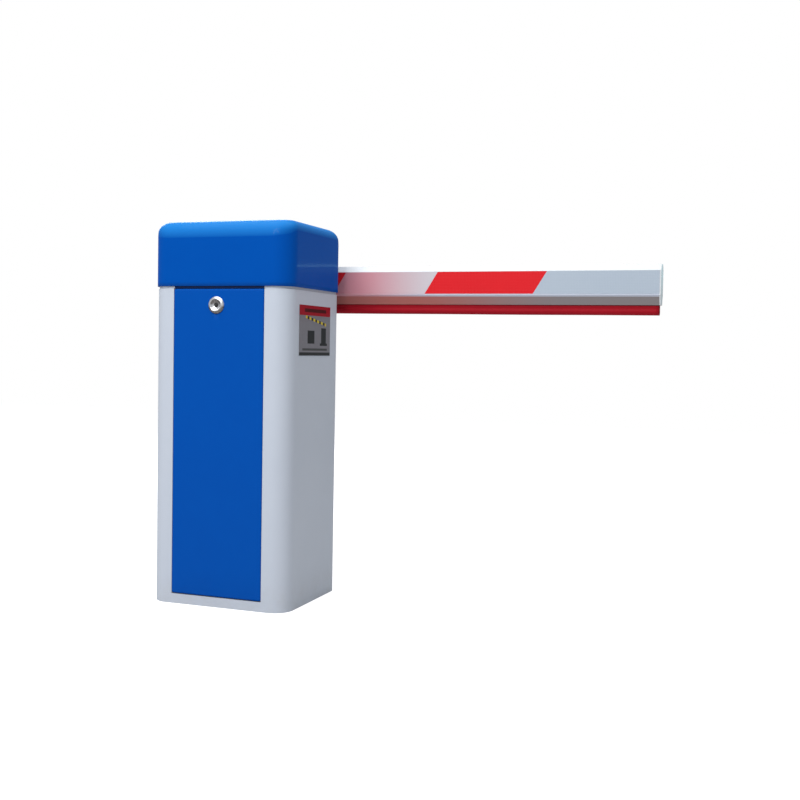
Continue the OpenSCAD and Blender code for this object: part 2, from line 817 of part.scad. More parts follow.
// Cowl over the fan, with a ring of air holes in its floor
module motor_cowl() {
  z0 = motor_z - cowl_l;
  color("black") translate([worm_x, gear_mid, 0]) difference() {
    rod_z(motor_r - 1, z0, motor_z);
    rod_z(motor_r - 4, z0 + 3, motor_z + 1);
    rod_z(6, z0 - 1, z0 + 4);
    for (i = [0:11]) rotate(i * 30) translate([motor_r * 0.6, 0, 0]) rod_z(5, z0 - 1, z0 + 4);
  }
}

// Hand knob on the worm's upper end, for raising the boom without power
module handwheel() {
  lobes = 6;
  color("orangered") translate([worm_x, gear_mid, 0]) difference() {
    union() {
      rod_z(14, wheel_z - 12, wheel_z + 1);
      difference() {
        rod_z(knob_r, wheel_z, wheel_z + 14);
        for (i = [0:lobes - 1]) rotate(i * 360 / lobes)
          translate([knob_r + 6, 0, 0]) rod_z(12, wheel_z - 1, wheel_z + 15);
      }
    }
    rod_z(rotor_r, wheel_z - 13, wheel_z + 8);
  }
}

// ---- Linkage ----

module crank_arm() {
  color("darkorange") translate([0, 0, out_z]) {
    difference() {
      slab_y(crank_y0, crank_y1) rotate(-half_turn) arm_outline(26, eye_r, crank_r);
      rod_y(output_r, crank_y0 - 1, crank_y1 + 1);
    }
    translate([arm_x, 0, -arm_drop]) rod_y(pin_r, crank_y1 - 1, rod_y1 + 1);
  }
}

// Double-ended rod; its upper eye has the open pivot's extra clearance
module connecting_rod() {
  color("silver") translate([arm_x, 0, out_z - arm_drop]) difference() {
    union() {
      rod_y(eye_r, rod_y0, rod_y1);
      translate([0, 0, link_l]) rod_y(eye_r, rod_y0, rod_y1);
      translate([0, (rod_y0 + rod_y1) / 2, 0]) {
        rod_z(5, eye_r - 5, link_l - eye_r + 5);
        rod_z(8, 34, 44);
        rod_z(8, link_l - 44, link_l - 34);
        rod_z(7, 60, link_l - 60);
      }
    }
    rod_y(pin_r + run_fit, rod_y0 - 1, rod_y1 + 1);
    translate([0, 0, link_l]) rod_y(pin_r + open_fit, rod_y0 - 1, rod_y1 + 1);
  }
}

module main_shaft() {
  color("lightgray") translate([0, 0, shaft_z]) rod_y(shaft_r, shaft_y0, boom_y - clamp_t);
}

module drive_arm() {
  color("darkorange") translate([0, 0, shaft_z]) {
    difference() {
      slab_y(arm_y0, arm_y1) rotate(-half_turn) arm_outline(hub_r, eye_r, crank_r);
      rod_y(shaft_r, arm_y0 - 1, arm_y1 + 1);
    }
    translate([arm_x, 0, -arm_drop]) rod_y(pin_r, rod_y0 - 1, arm_y0 + 1);
  }
}

// Two plates on a common hub, and the pin between their tips
module spring_lever() {
  color("darkorange") translate([0, 0, shaft_z]) {
    difference() {
      union() {
        for (y = [lever_y0, lever_y1 - lever_t])
          slab_y(y, y + lever_t) rotate(180 - half_turn) arm_outline(hub_r, 14, lever_r);
        rod_y(hub_r - 4, lever_y0 + 1, lever_y1 - 1);
      }
      rod_y(shaft_r, lever_y0 - 1, lever_y1 + 1);
    }
    translate([-lever_dx, 0, lever_dz]) rod_y(lever_pin_r, lever_y0 - 3, lever_y1 + 3);
  }
}

// Strap on the lever's pin, with a cross bar for the two springs
module spring_hanger() {
  y0 = lever_mid - hanger_t / 2;
  color("silver") translate([-lever_dx, 0, shaft_z + lever_dz]) {
    difference() {
      slab_y(y0, y0 + hanger_t) {
        circle(r = 13);
        patch(-10, 10, -hanger_l, 0);
        translate([0, -hanger_l]) circle(r = 10);
      }
      rod_y(lever_pin_r + run_fit, y0 - 1, y0 + hanger_t + 1);
    }
    translate([0, lever_mid, -hanger_l]) for (side = [-1, 1])
      rod_x(bar_r, side > 0 ? 0 : -spring_gap / 2 - 8, side > 0 ? spring_gap / 2 + 8 : 0);
  }
}

// One spring: a helix with an eye at each end, from z0 to z1
module helix(r, wire, z0, z1, pitch) {
  sides = 5;
  per_turn = 8;
  rings = ceil((z1 - z0) / pitch * per_turn);
  rise = (z1 - z0) / rings;
  function ring(i) = [for (k = [0:sides - 1])
    let (a = i * 360 / per_turn, b = k * 360 / sides, q = r + wire / 2 * cos(b))
    [q * cos(a), q * sin(a), z0 + i * rise + wire / 2 * sin(b)]];
  points = [for (i = [0:rings]) each ring(i)];
  walls = [for (i = [0:rings - 1], k = [0:sides - 1])
    let (n = (k + 1) % sides, p = i * sides, q = p + sides)
    each [[p + k, q + n, q + k], [p + k, p + n, q + n]]];
  polyhedron(points, concat([[for (k = [sides - 1:-1:0]) k]], walls,
    [[for (k = [0:sides - 1]) rings * sides + k]]));
}

module balance_springs() {
  loop_w = spring_wire / 2;
  top_c = bar_z + bar_r + loop_clear + loop_w - loop_r;
  bottom_c = ring_z + eye_ring_r - eye_wire - loop_clear - loop_w + loop_r;
  neck = 6;
  join = 0.3;
  arm_low = bottom_c + loop_r + neck;
  arm_high = top_c - loop_r - neck;
  color("black") for (x = spring_xs) translate([x, lever_mid, 0]) {
    helix(coil_r, spring_wire, arm_low + spring_wire + join, arm_high - spring_wire - join, spring_pitch);
    for (c = [top_c, bottom_c]) translate([0, 0, c]) rotate([0, 90, 0])
      rotate_extrude() translate([loop_r, 0]) circle(r = loop_w);
    // A neck from each eye to the arm that carries the end turn
    rod_z(loop_w, bottom_c + loop_r, arm_low);
    rod_z(loop_w, arm_high, top_c - loop_r);
    for (z = [arm_low, arm_high]) translate([0, 0, z]) rod_x(loop_w, -loop_w, coil_r + loop_w);
  }
}

// Bracket on the foot plate that holds the springs' adjusters
module spring_anchor() {
  y0 = lever_mid - 20;
  y1 = lever_mid + 20;
  mid = -lever_dx;
  color("gray") difference() {
    block(mid - anchor_leg, mid + anchor_leg, y0, y1, base_t, anchor_top);
    block(mid - anchor_leg + anchor_t, mid + anchor_leg - anchor_t, y0 - 1, y1 + 1,
          base_t - 1, anchor_top - anchor_t);
    for (x = spring_xs) translate([x, lever_mid, 0])
      rod_z(6 + bolt_fit, anchor_top - anchor_t - 1, anchor_top + 1);
  }
}

// Threaded rods with an eye on top and nuts above and below the bracket
module spring_adjusters() {
  color("silver") for (x = spring_xs) translate([x, lever_mid, 0]) {
    rod_z(6, anchor_top - 60, ring_z - eye_ring_r);
    translate([0, 0, anchor_top]) cylinder(r = 11, h = 10, $fn = 6);
    translate([0, 0, anchor_top - anchor_t - 10]) cylinder(r = 11, h = 10, $fn = 6);
    translate([0, 0, ring_z]) rotate([90, 0, 0])
      rotate_extrude() translate([eye_ring_r, 0]) circle(r = eye_wire);
  }
}

// ---- Position sensing ----

module sensor_flag() {
  hub = shaft_r + 9;
  reach = 44;
  color("silver") translate([0, 0, shaft_z]) difference() {
    slab_y(flag_y1 - flag_t, flag_y1) {
      circle(r = hub);
      intersection() {
        circle(r = reach);
        patch(-reach, 0, -reach, reach);
      }
    }
    rod_y(shaft_r, flag_y1 - flag_t - 1, flag_y1 + 1);
  }
}

// Two angles on the front plate, each with a screwed-in sensor aimed at the flag's rim
module position_sensors() {
  y = flag_y1 - flag_t / 2;
  half = 24;
  far = 86;
  tip = 47;
  color("gold") translate([0, 0, shaft_z]) {
    block(-far, -far + 4, y - 14, front_out, -half, half);
    block(-far, -far + 26, front_out - 4, front_out, -half, half);
    block(-half, half, y - 14, front_out, -far, -far + 4);
    block(-half, half, front_out - 4, front_out, -far, -far + 26);
    translate([0, y, 0]) {
      rod_x(6, -far - 18, -tip);
      rod_x(9, -far - 5, -far + 9);
      rod_z(6, -far - 18, -tip);
      rod_z(9, -far - 5, -far + 9);
    }
  }
}

// ---- Control gear ----

module gear_tray() {
  leg = 20;
  color("lightgray") {
    block(-inner_x, inner_x, tray_y, tray_y + tray_t, tray_z0, tray_z1);
    for (side = [-1, 1]) {
      x0 = side > 0 ? inner_x - tray_t : -inner_x;
      block(x0, x0 + tray_t, tray_y, tray_y + leg, tray_z0, tray_z1);
    }
  }
}

module control_box() {
  wall = 3;
  y0 = tray_y - box_depth;
  color("darkgray") translate([box_x, 0, box_z]) difference() {
    block(-box_w / 2, box_w / 2, y0, tray_y, 0, box_h);
    block(-box_w / 2 + wall, box_w / 2 - wall, y0 - 1, tray_y - wall, wall, box_h - wall);
  }
}

module control_lid() {
  y0 = tray_y - box_depth - lid_t;
  color("darkgray") translate([box_x, 0, box_z]) {
    block(-box_w / 2, box_w / 2, y0, y0 + lid_t, 0, box_h);
    for (x = [-1, 1], z = [0.08, 0.92])
      translate([x * box_w * 0.44, 0, z * box_h]) rod_y(4, y0 - 1.5, y0 + 1);
  }
}

module circuit_board() {
  board_y = tray_y - 16;
  color("darkgreen") translate([box_x, 0, box_z]) {
    block(-box_w / 2 + 8, box_w / 2 - 8, board_y - 1.6, board_y, 8, box_h - 8);
    // Relays, transformer, processor and terminal strip
    for (i = [0:3]) block(-66 + i * 24, -48 + i * 24, board_y - 17, board_y - 1.5, 84, 100);
    block(34, 68, board_y - 30, board_y - 1.5, 62, 98);
    block(-20, 8, board_y - 5, board_y - 1.5, 44, 66);
    block(-70, 70, board_y - 12, board_y - 1.5, 12, 24);
    for (x = [-62, 62], z = [34, 76]) translate([x, 0, z]) rod_y(3, board_y - 0.1, tray_y - 3);
  }
}

// Top-hat rail with a row of terminals
module terminal_rail() {
  ways = 12;
  pitch = 11;
  x0 = -110;
  color("beige") translate([0, 0, rail_z]) {
    difference() {
      block(-130, 130, rail_y, tray_y, -17.5, 17.5);
      block(-131, 131, tray_y - 6.5, tray_y + 1, -12, 12);
    }
    for (i = [0:ways - 1]) translate([x0 + i * pitch, 0, 0]) difference() {
      block(0, pitch - 0.6, tray_y - 44, rail_y, -22, 22);
      for (z = [-14, 14]) translate([pitch / 2 - 0.3, 0, z]) rod_y(2.6, tray_y - 45, tray_y - 38);
    }
  }
}

module breaker_body() {
  w = 36;
  slot = toggle_w / 2 + move_gap;
  color("whitesmoke") translate([breaker_x, rail_y, rail_z]) difference() {
    union() {
      block(-w / 2, w / 2, -40, 0, -40, 40);
      block(-w / 2, w / 2, -52, -39, -22, 22);
    }
    block(-slot, slot, -53, -toggle_in + toggle_r + 1, -14, 14);
  }
}

// Rocking toggle, drawn up, which is on
module breaker_toggle() {
  color("black") translate([breaker_x, rail_y - toggle_in, rail_z]) {
    rod_x(toggle_r, -toggle_w / 2, toggle_w / 2);
    rotate([-35, 0, 0]) block(-10, 10, -14, 0, -2.4, 2.4);
  }
}

module capacitor() {
  color("whitesmoke") translate([110, tray_y - 24, 0]) {
    rod_z(20, box_z + 10, box_z + 84);
    rod_z(4, box_z + 83, box_z + 92);
    block(-4, 4, 10, 24, box_z + 30, box_z + 50);
  }
}

// ---- Outside trim ----

// Rubber collar in the rear wall round the shaft
module shaft_seal() {
  color("black") translate([0, 0, shaft_z]) difference() {
    union() {
      rod_y(shaft_r + 6, inner_rear - 3, half_d + seal_out);
      rod_y(shaft_r + 10, half_d, half_d + seal_out);
    }
    rod_y(shaft_r + fit_gap, inner_rear - 4, half_d + seal_out + 1);
  }
}

// Thin plate on the side that faces the lane
module info_plate() {
  y_mid = -6;
  w = 186;
  h = 124;
  top = seam_z - 41;
  color("dimgray") block(half_w, half_w + 0.8, y_mid - w / 2, y_mid + w / 2, top - h, top);
}

// ---- Boom ----

// Outline of the boom in thickness and height, inset by the wall. The rib stands out along
// each side, at the film's lower edge.
module boom_outline(inset, rib) {
  h = boom_h / 2 - inset;
  t = boom_t / 2 - inset;
  crown_z = boom_h / 2 - bevel_h - inset * 0.4;
  skirt_z = -boom_h / 2 + skirt_h + inset * 0.4;
  crown = t - crown_in + inset * 0.3;
  skirt = t - skirt_in + inset * 0.3;
  side = [[crown, h], [t, crown_z], [t, skirt_z + ridge_h], [t + rib, skirt_z + ridge_h - 1],
          [t + rib, skirt_z + 1], [t, skirt_z], [skirt, -h]];
  last = len(side) - 1;
  polygon(concat(side, [for (i = [last:-1:0]) [-side[i][0], side[i][1]]]));
}

// Slot that holds the foot of the rubber edge
module rubber_slot(gap) {
  z = -boom_h / 2;
  patch(-5 - gap, 5 + gap, z - 1, z + 4);
  patch(-8 - gap, 8 + gap, z + 3, z + 7 + gap);
}

module boom_extrusion() {
  mid = boom_y + boom_t / 2;
  color("whitesmoke") translate([0, mid, shaft_z]) difference() {
    slab_x(-boom_tail, boom_l - 3) difference() {
      boom_outline(0, ridge_out);
      difference() {
        boom_outline(boom_wall, 0);
        patch(-11, 11, -boom_h / 2 - 1, -boom_h / 2 + 10);
      }
      rubber_slot(0);
    }
  }
}

module boom_rubber() {
  mid = boom_y + boom_t / 2;
  z = -boom_h / 2;
  r = 9;
  color("firebrick") translate([0, mid, shaft_z]) slab_x(clamp_half + 6, boom_l - 4) difference() {
    union() {
      rubber_slot(-0.2);
      patch(-rubber_w / 2, rubber_w / 2, z - 5, z - 0.2);
      patch(-r, r, z - rubber_h + r, z - 4);
      translate([0, z - rubber_h + r]) circle(r = r);
    }
    translate([0, z - rubber_h + r]) circle(r = r - 3);
  }
}

module boom_end_caps() {
  mid = boom_y + boom_t / 2;
  color("whitesmoke") translate([0, mid, shaft_z]) {
    slab_x(-boom_tail - 3, -boom_tail) boom_outline(0, ridge_out);
    slab_x(boom_l - 3, boom_l) boom_outline(0, ridge_out);
    for (x = [[-boom_tail, -boom_tail + 12], [boom_l - 15, boom_l - 3]])
      slab_x(x[0] - 0.1, x[1]) difference() {
        boom_outline(boom_wall + 0.3, 0);
        patch(-12, 12, -boom_h / 2 - 1, -boom_h / 2 + 11);
        boom_outline(boom_wall + 3, 0);
      }
  }
}

// One slanting stripe outline, from x0 to x1 at its lower edge
module stripe(x0, x1) {
  polygon([[x0, film_z0], [x1, film_z0], [x1 + stripe_lean, film_z1], [x0 + stripe_lean, film_z1]]);
}

// All coloured stripes: the one behind the cabinet and the one in the open
module stripes() {
  first_end = stripe_x - stripe_l + 30;
  stripe(first_end - stripe_l, first_end);
  stripe(stripe_x, stripe_x + stripe_l);
}

module film_faces() {
  for (y = [boom_y - film_t, boom_y + boom_t])
    translate([0, 0, shaft_z]) slab_y(y, y + film_t) children();
}

module film_red() {
  color("red") film_faces() intersection() {
    stripes();
    patch(clamp_half + 4, boom_l - 3, film_z0, film_z1);
  }
}

module film_silver() {
  color("lightsteelblue") film_faces() difference() {
    patch(clamp_half + 4, boom_l - 3, film_z0, film_z1);
    stripes();
  }
}

module boom_hub() {
  y1 = boom_y - clamp_t;
  y0 = y1 - hub_t;
  color("gray") translate([0, 0, shaft_z]) difference() {
    union() {
      rod_y(50, y0, y1);
      rod_y(hub_r, half_d + seal_out + 1.5, y0 + 1);
    }
    rod_y(shaft_r, half_d, y1 + 1);
    for (i = [0:3]) rotate([0, 45 + 90 * i, 0]) translate([40, 0, 0])
      rod_y(4 + bolt_fit, y0 - 1, y1 + 1);
  }
}

// Channel that the boom lies in, bolted to the hub
module clamp_inner() {
  y0 = boom_y - clamp_t;
  lip = boom_t - 2;
  color("whitesmoke") translate([0, 0, shaft_z]) difference() {
    union() {
      block(-clamp_half, clamp_half, y0, boom_y, -clamp_z, clamp_z);
      for (side = [-1, 1]) {
        z0 = side > 0 ? boom_h / 2 + fit_gap : -boom_h / 2 - fit_gap - lip_t;
        block(-clamp_half, clamp_half, boom_y - 1, boom_y + lip, z0, z0 + lip_t);
      }
    }
    // Groove for the boom's rib
    block(-clamp_half - 1, clamp_half + 1, boom_y - ridge_out - fit_gap, boom_y + 1,
          rib_z - fit_gap, rib_z + ridge_h + fit_gap);
    for (x = [-1, 1], z = [-1, 1]) translate([x * clamp_bolt_x, 0, z * clamp_bolt_z])
      rod_y(bolt_r + bolt_fit, y0 - 1, boom_y + 1);
    for (i = [0:3]) rotate([0, 45 + 90 * i, 0]) translate([40, 0, 0])
      rod_y(4 + bolt_fit, y0 - 1, boom_y - 4);
  }
}

module clamp_outer() {
  y0 = boom_y + boom_t + fit_gap + ridge_out + 1;
  color("whitesmoke") translate([0, 0, shaft_z]) difference() {
    block(-clamp_half, clamp_half, y0, y0 + 6, -clamp_z, clamp_z);
    for (x = [-1, 1], z = [-1, 1]) translate([x * clamp_bolt_x, 0, z * clamp_bolt_z])
      rod_y(bolt_r + bolt_fit, y0 - 1, y0 + 7);
  }
}

module clamp_bolts() {
  y0 = boom_y - clamp_t;
  y1 = boom_y + boom_t + fit_gap + ridge_out + 7;
  color("silver") translate([0, 0, shaft_z]) {
    for (x = [-1, 1], z = [-1, 1]) translate([x * clamp_bolt_x, 0, z * clamp_bolt_z]) {
      hex_bolt_y(bolt_r, y0, y1 - y0 + 10);
      translate([0, y1, 0]) rotate([-90, 0, 0]) cylinder(r = 9.5, h = 8, $fn = 6);
    }
    for (i = [0:3]) rotate([0, 45 + 90 * i, 0]) translate([40, 0, 0])
      hex_bolt_y(4, y0 - hub_t, hub_t + clamp_t - 5);
  }
}

base_plate();
anchor_pads();
cable_grommet();
cabinet_shell();
door_frame();
door_gasket();
hood_ledge();
chassis_rails();
chassis_floor();
chassis_front_plate();
chassis_rear_plate();
tie_rods();
chassis_bolts();
shaft_bearings();
stop_posts();
stop_bumpers();
gearbox_housing();
gearbox_cover();
motor_body();
motor_cowl();
spring_anchor();
spring_adjusters();
position_sensors();
gear_tray();
control_box();
control_lid();
circuit_board();
terminal_rail();
breaker_body();
capacitor();
shaft_seal();
info_plate();
main_shaft();
drive_arm();
spring_lever();
sensor_flag();
boom_hub();
clamp_inner();
clamp_outer();
clamp_bolts();
boom_extrusion();
boom_end_caps();
boom_rubber();
film_silver();
film_red();
output_shaft();
worm_wheel();
crank_arm();
connecting_rod();
spring_hanger();
balance_springs();
rotor_shaft();
handwheel();
hood();
hood_brackets();
door_panel();
door_brackets();
lock_housing();
lock_plug();
breaker_toggle();
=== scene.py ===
import math
import bpy
import numpy as np
from mathutils import Matrix, Vector


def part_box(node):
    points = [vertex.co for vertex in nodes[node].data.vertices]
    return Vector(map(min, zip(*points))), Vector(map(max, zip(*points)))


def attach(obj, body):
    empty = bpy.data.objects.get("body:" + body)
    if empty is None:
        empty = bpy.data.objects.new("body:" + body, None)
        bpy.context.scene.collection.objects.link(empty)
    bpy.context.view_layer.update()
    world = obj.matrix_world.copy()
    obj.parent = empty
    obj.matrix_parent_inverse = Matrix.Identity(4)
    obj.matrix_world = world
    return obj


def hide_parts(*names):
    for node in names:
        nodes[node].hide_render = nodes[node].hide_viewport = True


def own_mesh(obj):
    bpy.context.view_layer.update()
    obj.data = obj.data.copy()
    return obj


# Parking barrier gate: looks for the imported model. Metres; +X along the boom, -Y the door side,
# +Z up.
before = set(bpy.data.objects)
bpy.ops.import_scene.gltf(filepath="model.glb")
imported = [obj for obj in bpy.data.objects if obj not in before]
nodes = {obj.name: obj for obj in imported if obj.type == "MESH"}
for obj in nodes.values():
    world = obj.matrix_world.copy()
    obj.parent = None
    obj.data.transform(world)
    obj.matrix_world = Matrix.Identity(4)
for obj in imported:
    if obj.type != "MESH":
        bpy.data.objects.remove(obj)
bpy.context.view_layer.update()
scene = bpy.context.scene
print("stage: frame loaded,", len(nodes), "nodes")

# shapes and helpers that several pieces use


def span(node):
    # lowest and highest corner of a node as two arrays
    low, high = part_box(node)
    return np.array(low), np.array(high)


def gridFaces(rows, cols):
    # quads between neighbouring grid points; each row's last point joins its first
    r, c = np.meshgrid(np.arange(rows - 1), np.arange(cols), indexing="ij")
    nextC = (c + 1) % cols
    quads = np.stack([r * cols + c, r * cols + nextC, (r + 1) * cols + nextC, (r + 1) * cols + c], -1)
    return quads.reshape(-1, 4)


def meshPiece(name, points, faces, smooth=True):
    mesh = bpy.data.meshes.new(name)
    mesh.from_pydata(np.asarray(points, float).reshape(-1, 3).tolist(), [],
                     [f.tolist() if hasattr(f, "tolist") else list(f) for f in faces])
    mesh.polygons.foreach_set("use_smooth", np.full(len(mesh.polygons), smooth))
    mesh.update()
    piece = bpy.data.objects.new(name, mesh)
    scene.collection.objects.link(piece)
    return piece


def surface(name, grid, flip=False, capStart=False, capEnd=False):
    # a two-parameter grid of points, rings by columns, turned into quads; flip turns the faces
    # over, and a cap closes a whole ring of points
    rows, cols = grid.shape[:2]
    faces = gridFaces(rows, cols)
    if flip:
        faces = faces[:, ::-1]
    faces = list(faces)
    first, last = np.arange(cols), (rows - 1) * cols + np.arange(cols)
    if capStart:
        faces.append(first if flip else first[::-1])
    if capEnd:
        faces.append(last[::-1] if flip else last)
    return meshPiece(name, grid, faces)


def lathe(name, profile, centre, sides):
    # a profile of (radius, distance along Y) turned round a line through centre along Y
    a = np.linspace(0, 2 * np.pi, sides, endpoint=False)
    r, along = np.array(profile, float).T
    grid = np.stack([centre[0] + r[:, None] * np.cos(a), centre[1] + along[:, None] + 0 * a,
                     centre[2] + r[:, None] * np.sin(a)], -1)
    return surface(name, grid, flip=True)


def roundedPath(corners, radius, steps):
    # an open line with each inner corner replaced by a quadratic curve that starts and ends one
    # radius away from it
    p = np.array(corners, float)
    before, after = p[:-2] - p[1:-1], p[2:] - p[1:-1]
    lengthBefore = np.linalg.norm(before, axis=1, keepdims=True)
    lengthAfter = np.linalg.norm(after, axis=1, keepdims=True)
    start = p[1:-1] + before / lengthBefore * np.minimum(radius, lengthBefore * 0.45)
    end = p[1:-1] + after / lengthAfter * np.minimum(radius, lengthAfter * 0.45)
    t = np.linspace(0, 1, steps)[None, :, None]
    curve = (1 - t) ** 2 * start[:, None] + 2 * t * (1 - t) * p[1:-1][:, None] + t ** 2 * end[:, None]
    return np.concatenate([p[:1], curve.reshape(-1, p.shape[1]), p[-1:]])


def roundRing(halfX, halfY, radii, arcSteps, sideSteps):
    # rounded rectangle in plan as corner arcs joined by straight runs, anticlockwise from the
    # +X -Y corner; halfX, halfY and radii may be columns, which gives one ring for each row
    halfX, halfY = np.atleast_1d(halfX)[:, None], np.atleast_1d(halfY)[:, None]
    a = np.linspace(0, np.pi / 2, arcSteps)[None, :]
    corners = [(1, -1, -np.pi / 2), (1, 1, 0), (-1, 1, np.pi / 2), (-1, -1, np.pi)]
    arcs, parts = [], []
    for (sx, sy, start), r in zip(corners, radii):
        r = np.atleast_1d(r)[:, None]
        arcs.append(np.stack([sx * (halfX - r) + r * np.cos(a + start),
                              sy * (halfY - r) + r * np.sin(a + start)], -1))
    t = np.linspace(0, 1, sideSteps + 2)[1:-1][None, :, None]
    for k, arc in enumerate(arcs):
        following = arcs[(k + 1) % len(arcs)]
        parts += [arc, arc[:, -1:] * (1 - t) + following[:, :1] * t]
    return np.concatenate(parts, 1)


def addModifier(piece, kind, **settings):
    m = piece.modifiers.new(kind.lower(), kind)
    for key, value in settings.items():
        setattr(m, key, value)
    return m


# the hood is a pressed sheet shell with a slot at the back for the main shaft
hoodShape = {"frontCorner": 0.047, "rearCorner": 0.040, "topCorner": 0.020, "roll": 0.046, "sideEdge": 0.028,
             "tighten": 0.8, "sheet": 0.0018, "crown": 0.0012, "slot": 0.030, "slotTop": 0.062,
             "slotBorder": 0.02, "slotShare": 0.7, "cornerGap": 0.004, "lidMiddle": 0.04,
             "lowRings": 9, "sideRings": 5, "rollRings": 26, "lidRings": 12, "arcSteps": 15,
             "sideSteps": 40}


def hoodGrid(s):
    # rings of a rounded rectangle from the seam up; near the top the depth shrinks along a circle of
    # radius roll, the width along a circle of radius sideEdge, and the corners tighten with the depth
    (_, _, seam), (halfX, halfY, top) = span("hood")
    shaftLow, shaftHigh = span("main_shaft")
    shaftZ = (shaftLow[2] + shaftHigh[2]) / 2
    # heights of the rings, with one ring just above the slot
    joinZ = shaftZ + s["slotTop"]
    low = s["lowRings"]
    heights = np.concatenate([np.linspace(seam, joinZ, low),
                              np.linspace(joinZ, top - s["roll"], s["sideRings"])[1:]])
    turn = np.radians(np.linspace(0, 90, s["rollRings"]))[1:]
    z = np.concatenate([heights, top - s["roll"] + s["roll"] * np.sin(turn)])
    rise = np.clip((z - (top - s["roll"])) / s["roll"], 0, 1)
    deep = s["roll"] * (1 - np.sqrt(1 - rise ** 2))
    edgeRise = np.clip((z - (top - s["sideEdge"])) / s["sideEdge"], 0, 1)
    wide = s["sideEdge"] * (1 - np.sqrt(1 - edgeRise ** 2))
    tight = (deep / s["roll"]) ** s["tighten"]
    front = s["frontCorner"] * (1 - tight) + s["topCorner"] * tight
    rear = s["rearCorner"] * (1 - tight) + s["topCorner"] * tight
    ring = roundRing(halfX - wide, halfY - deep, [front, rear, rear, front], s["arcSteps"], s["sideSteps"])
    # the rear run, between its two corner arcs, is spaced afresh, so that its middle columns fit
    # the slot
    begin = 2 * s["arcSteps"] + s["sideSteps"]
    run = slice(begin, begin + s["sideSteps"])
    reach, share = s["slot"] + s["slotBorder"], s["slotShare"]
    across = np.linspace(1, -1, s["sideSteps"])
    inner = np.clip(across / share, -1, 1) * reach
    edge = halfX - s["rearCorner"] - s["cornerGap"]
    outer = np.sign(across) * np.clip(np.abs(across) - share, 0, None) / (1 - share) * (edge - reach)
    runX = inner + outer
    ring[:, run, 0] = runX * (1 - wide[:, None] / halfX)
    z = np.repeat(z[:, None], ring.shape[1], 1)
    # under the join line the middle columns come down onto the slot's outline, an upside-down U
    arc, straight = s["slot"] * np.pi / 2, shaftZ - seam
    away = np.abs(runX) / reach * (arc + straight + reach - s["slot"])
    angle = np.clip(away / s["slot"], 0, np.pi / 2)
    outlineX = np.sign(runX) * (s["slot"] * np.sin(angle) + np.clip(away - arc - straight, 0, None))
    outlineZ = np.maximum(shaftZ + s["slot"] * np.cos(angle) - np.clip(away - arc, 0, straight), seam)
    lift = np.linspace(0, 1, low)[:, None]
    middle = np.abs(runX) < reach + 1e-9
    cols = np.arange(begin, begin + s["sideSteps"])[middle]
    ring[:low, cols, 0] = outlineX[middle] * (1 - lift) + runX[middle] * lift
    z[:low, cols] = outlineZ[middle] * (1 - lift) + joinZ * lift
    # the top closes with rings that shrink towards its middle, and a crown that falls away with
    # the square of a ring's share of the top
    shrink = np.linspace(1, s["lidMiddle"], s["lidRings"])[1:]
    crowned = z - s["crown"] * (deep / s["roll"])[:, None]
    lid = np.repeat((top - s["crown"] * shrink ** 2)[:, None], ring.shape[1], 1)
    ring = np.concatenate([ring, ring[-1:] * shrink[:, None, None]])
    return np.concatenate([ring, np.concatenate([crowned, lid])[:, :, None]], -1)


hoodPiece = surface("hoodShell", hoodGrid(hoodShape), capEnd=True)
addModifier(hoodPiece, "SOLIDIFY", thickness=hoodShape["sheet"], offset=-1)
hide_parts("hood")
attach(hoodPiece, "hood")
print("stage: hood")


# the door is a folded panel, dished a little, with a hole for the lock
doorShape = {"fold": 0.003, "corner": 0.0032, "cornerGrowth": 0.4, "lockHole": 0.011, "sheet": 0.0018,
             "dish": 0.0007, "foldRings": 9, "faceRings": 20, "crowding": 0.8, "arcSteps": 9, "sideSteps": 34}


def doorGrid(s):
    # rings from the back rim along the folded edge, round the fold on a quarter circle, then straight
    # towards the lock's hole; the face is dished inwards by a product of two sines
    low, high = span("door_panel")
    lockLow, lockHigh = span("lock_housing")
    lock = np.array([(lockLow[0] + lockHigh[0]) / 2, (lockLow[2] + lockHigh[2]) / 2])
    centre = np.array([(low[0] + high[0]) / 2, (low[2] + high[2]) / 2])
    halfX, halfZ = (high[0] - low[0]) / 2, (high[2] - low[2]) / 2
    turn = np.radians(np.linspace(0, 90, s["foldRings"]))
    inset = np.concatenate([[0, 0], s["fold"] * (1 - np.cos(turn))])
    y = np.concatenate([[high[1], (high[1] + low[1]) / 2], low[1] + s["fold"] * (1 - np.sin(turn))])
    corner = s["corner"] + inset * s["cornerGrowth"]
    ring = roundRing(halfX - inset, halfZ - inset, [corner] * 4, s["arcSteps"], s["sideSteps"]) + centre
    across = np.linspace(0, 1, s["faceRings"])[1:, None, None] ** s["crowding"]
    away = ring[-1] - lock
    hole = lock + away / np.linalg.norm(away, axis=1, keepdims=True) * s["lockHole"]
    face = ring[-1:] * (1 - across) + hole[None] * across
    ring = np.concatenate([ring, face])
    y = np.concatenate([y, np.full(len(face), low[1])])[:, None] + 0 * ring[:, :, 0]
    u = np.clip((ring[:, :, 0] - low[0]) / (high[0] - low[0]), 0, 1)
    v = np.clip((ring[:, :, 1] - low[2]) / (high[2] - low[2]), 0, 1)
    count = len(face)
    y[-count:] += (s["dish"] * np.sin(np.pi * u) * np.sin(np.pi * v) ** 0.5)[-count:]
    return np.stack([ring[:, :, 0], y, ring[:, :, 1]], -1)


doorPiece = surface("doorSkin", doorGrid(doorShape), flip=True)
addModifier(doorPiece, "SOLIDIFY", thickness=doorShape["sheet"], offset=-1)
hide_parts("door_panel")
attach(doorPiece, "door")
print("stage: door")

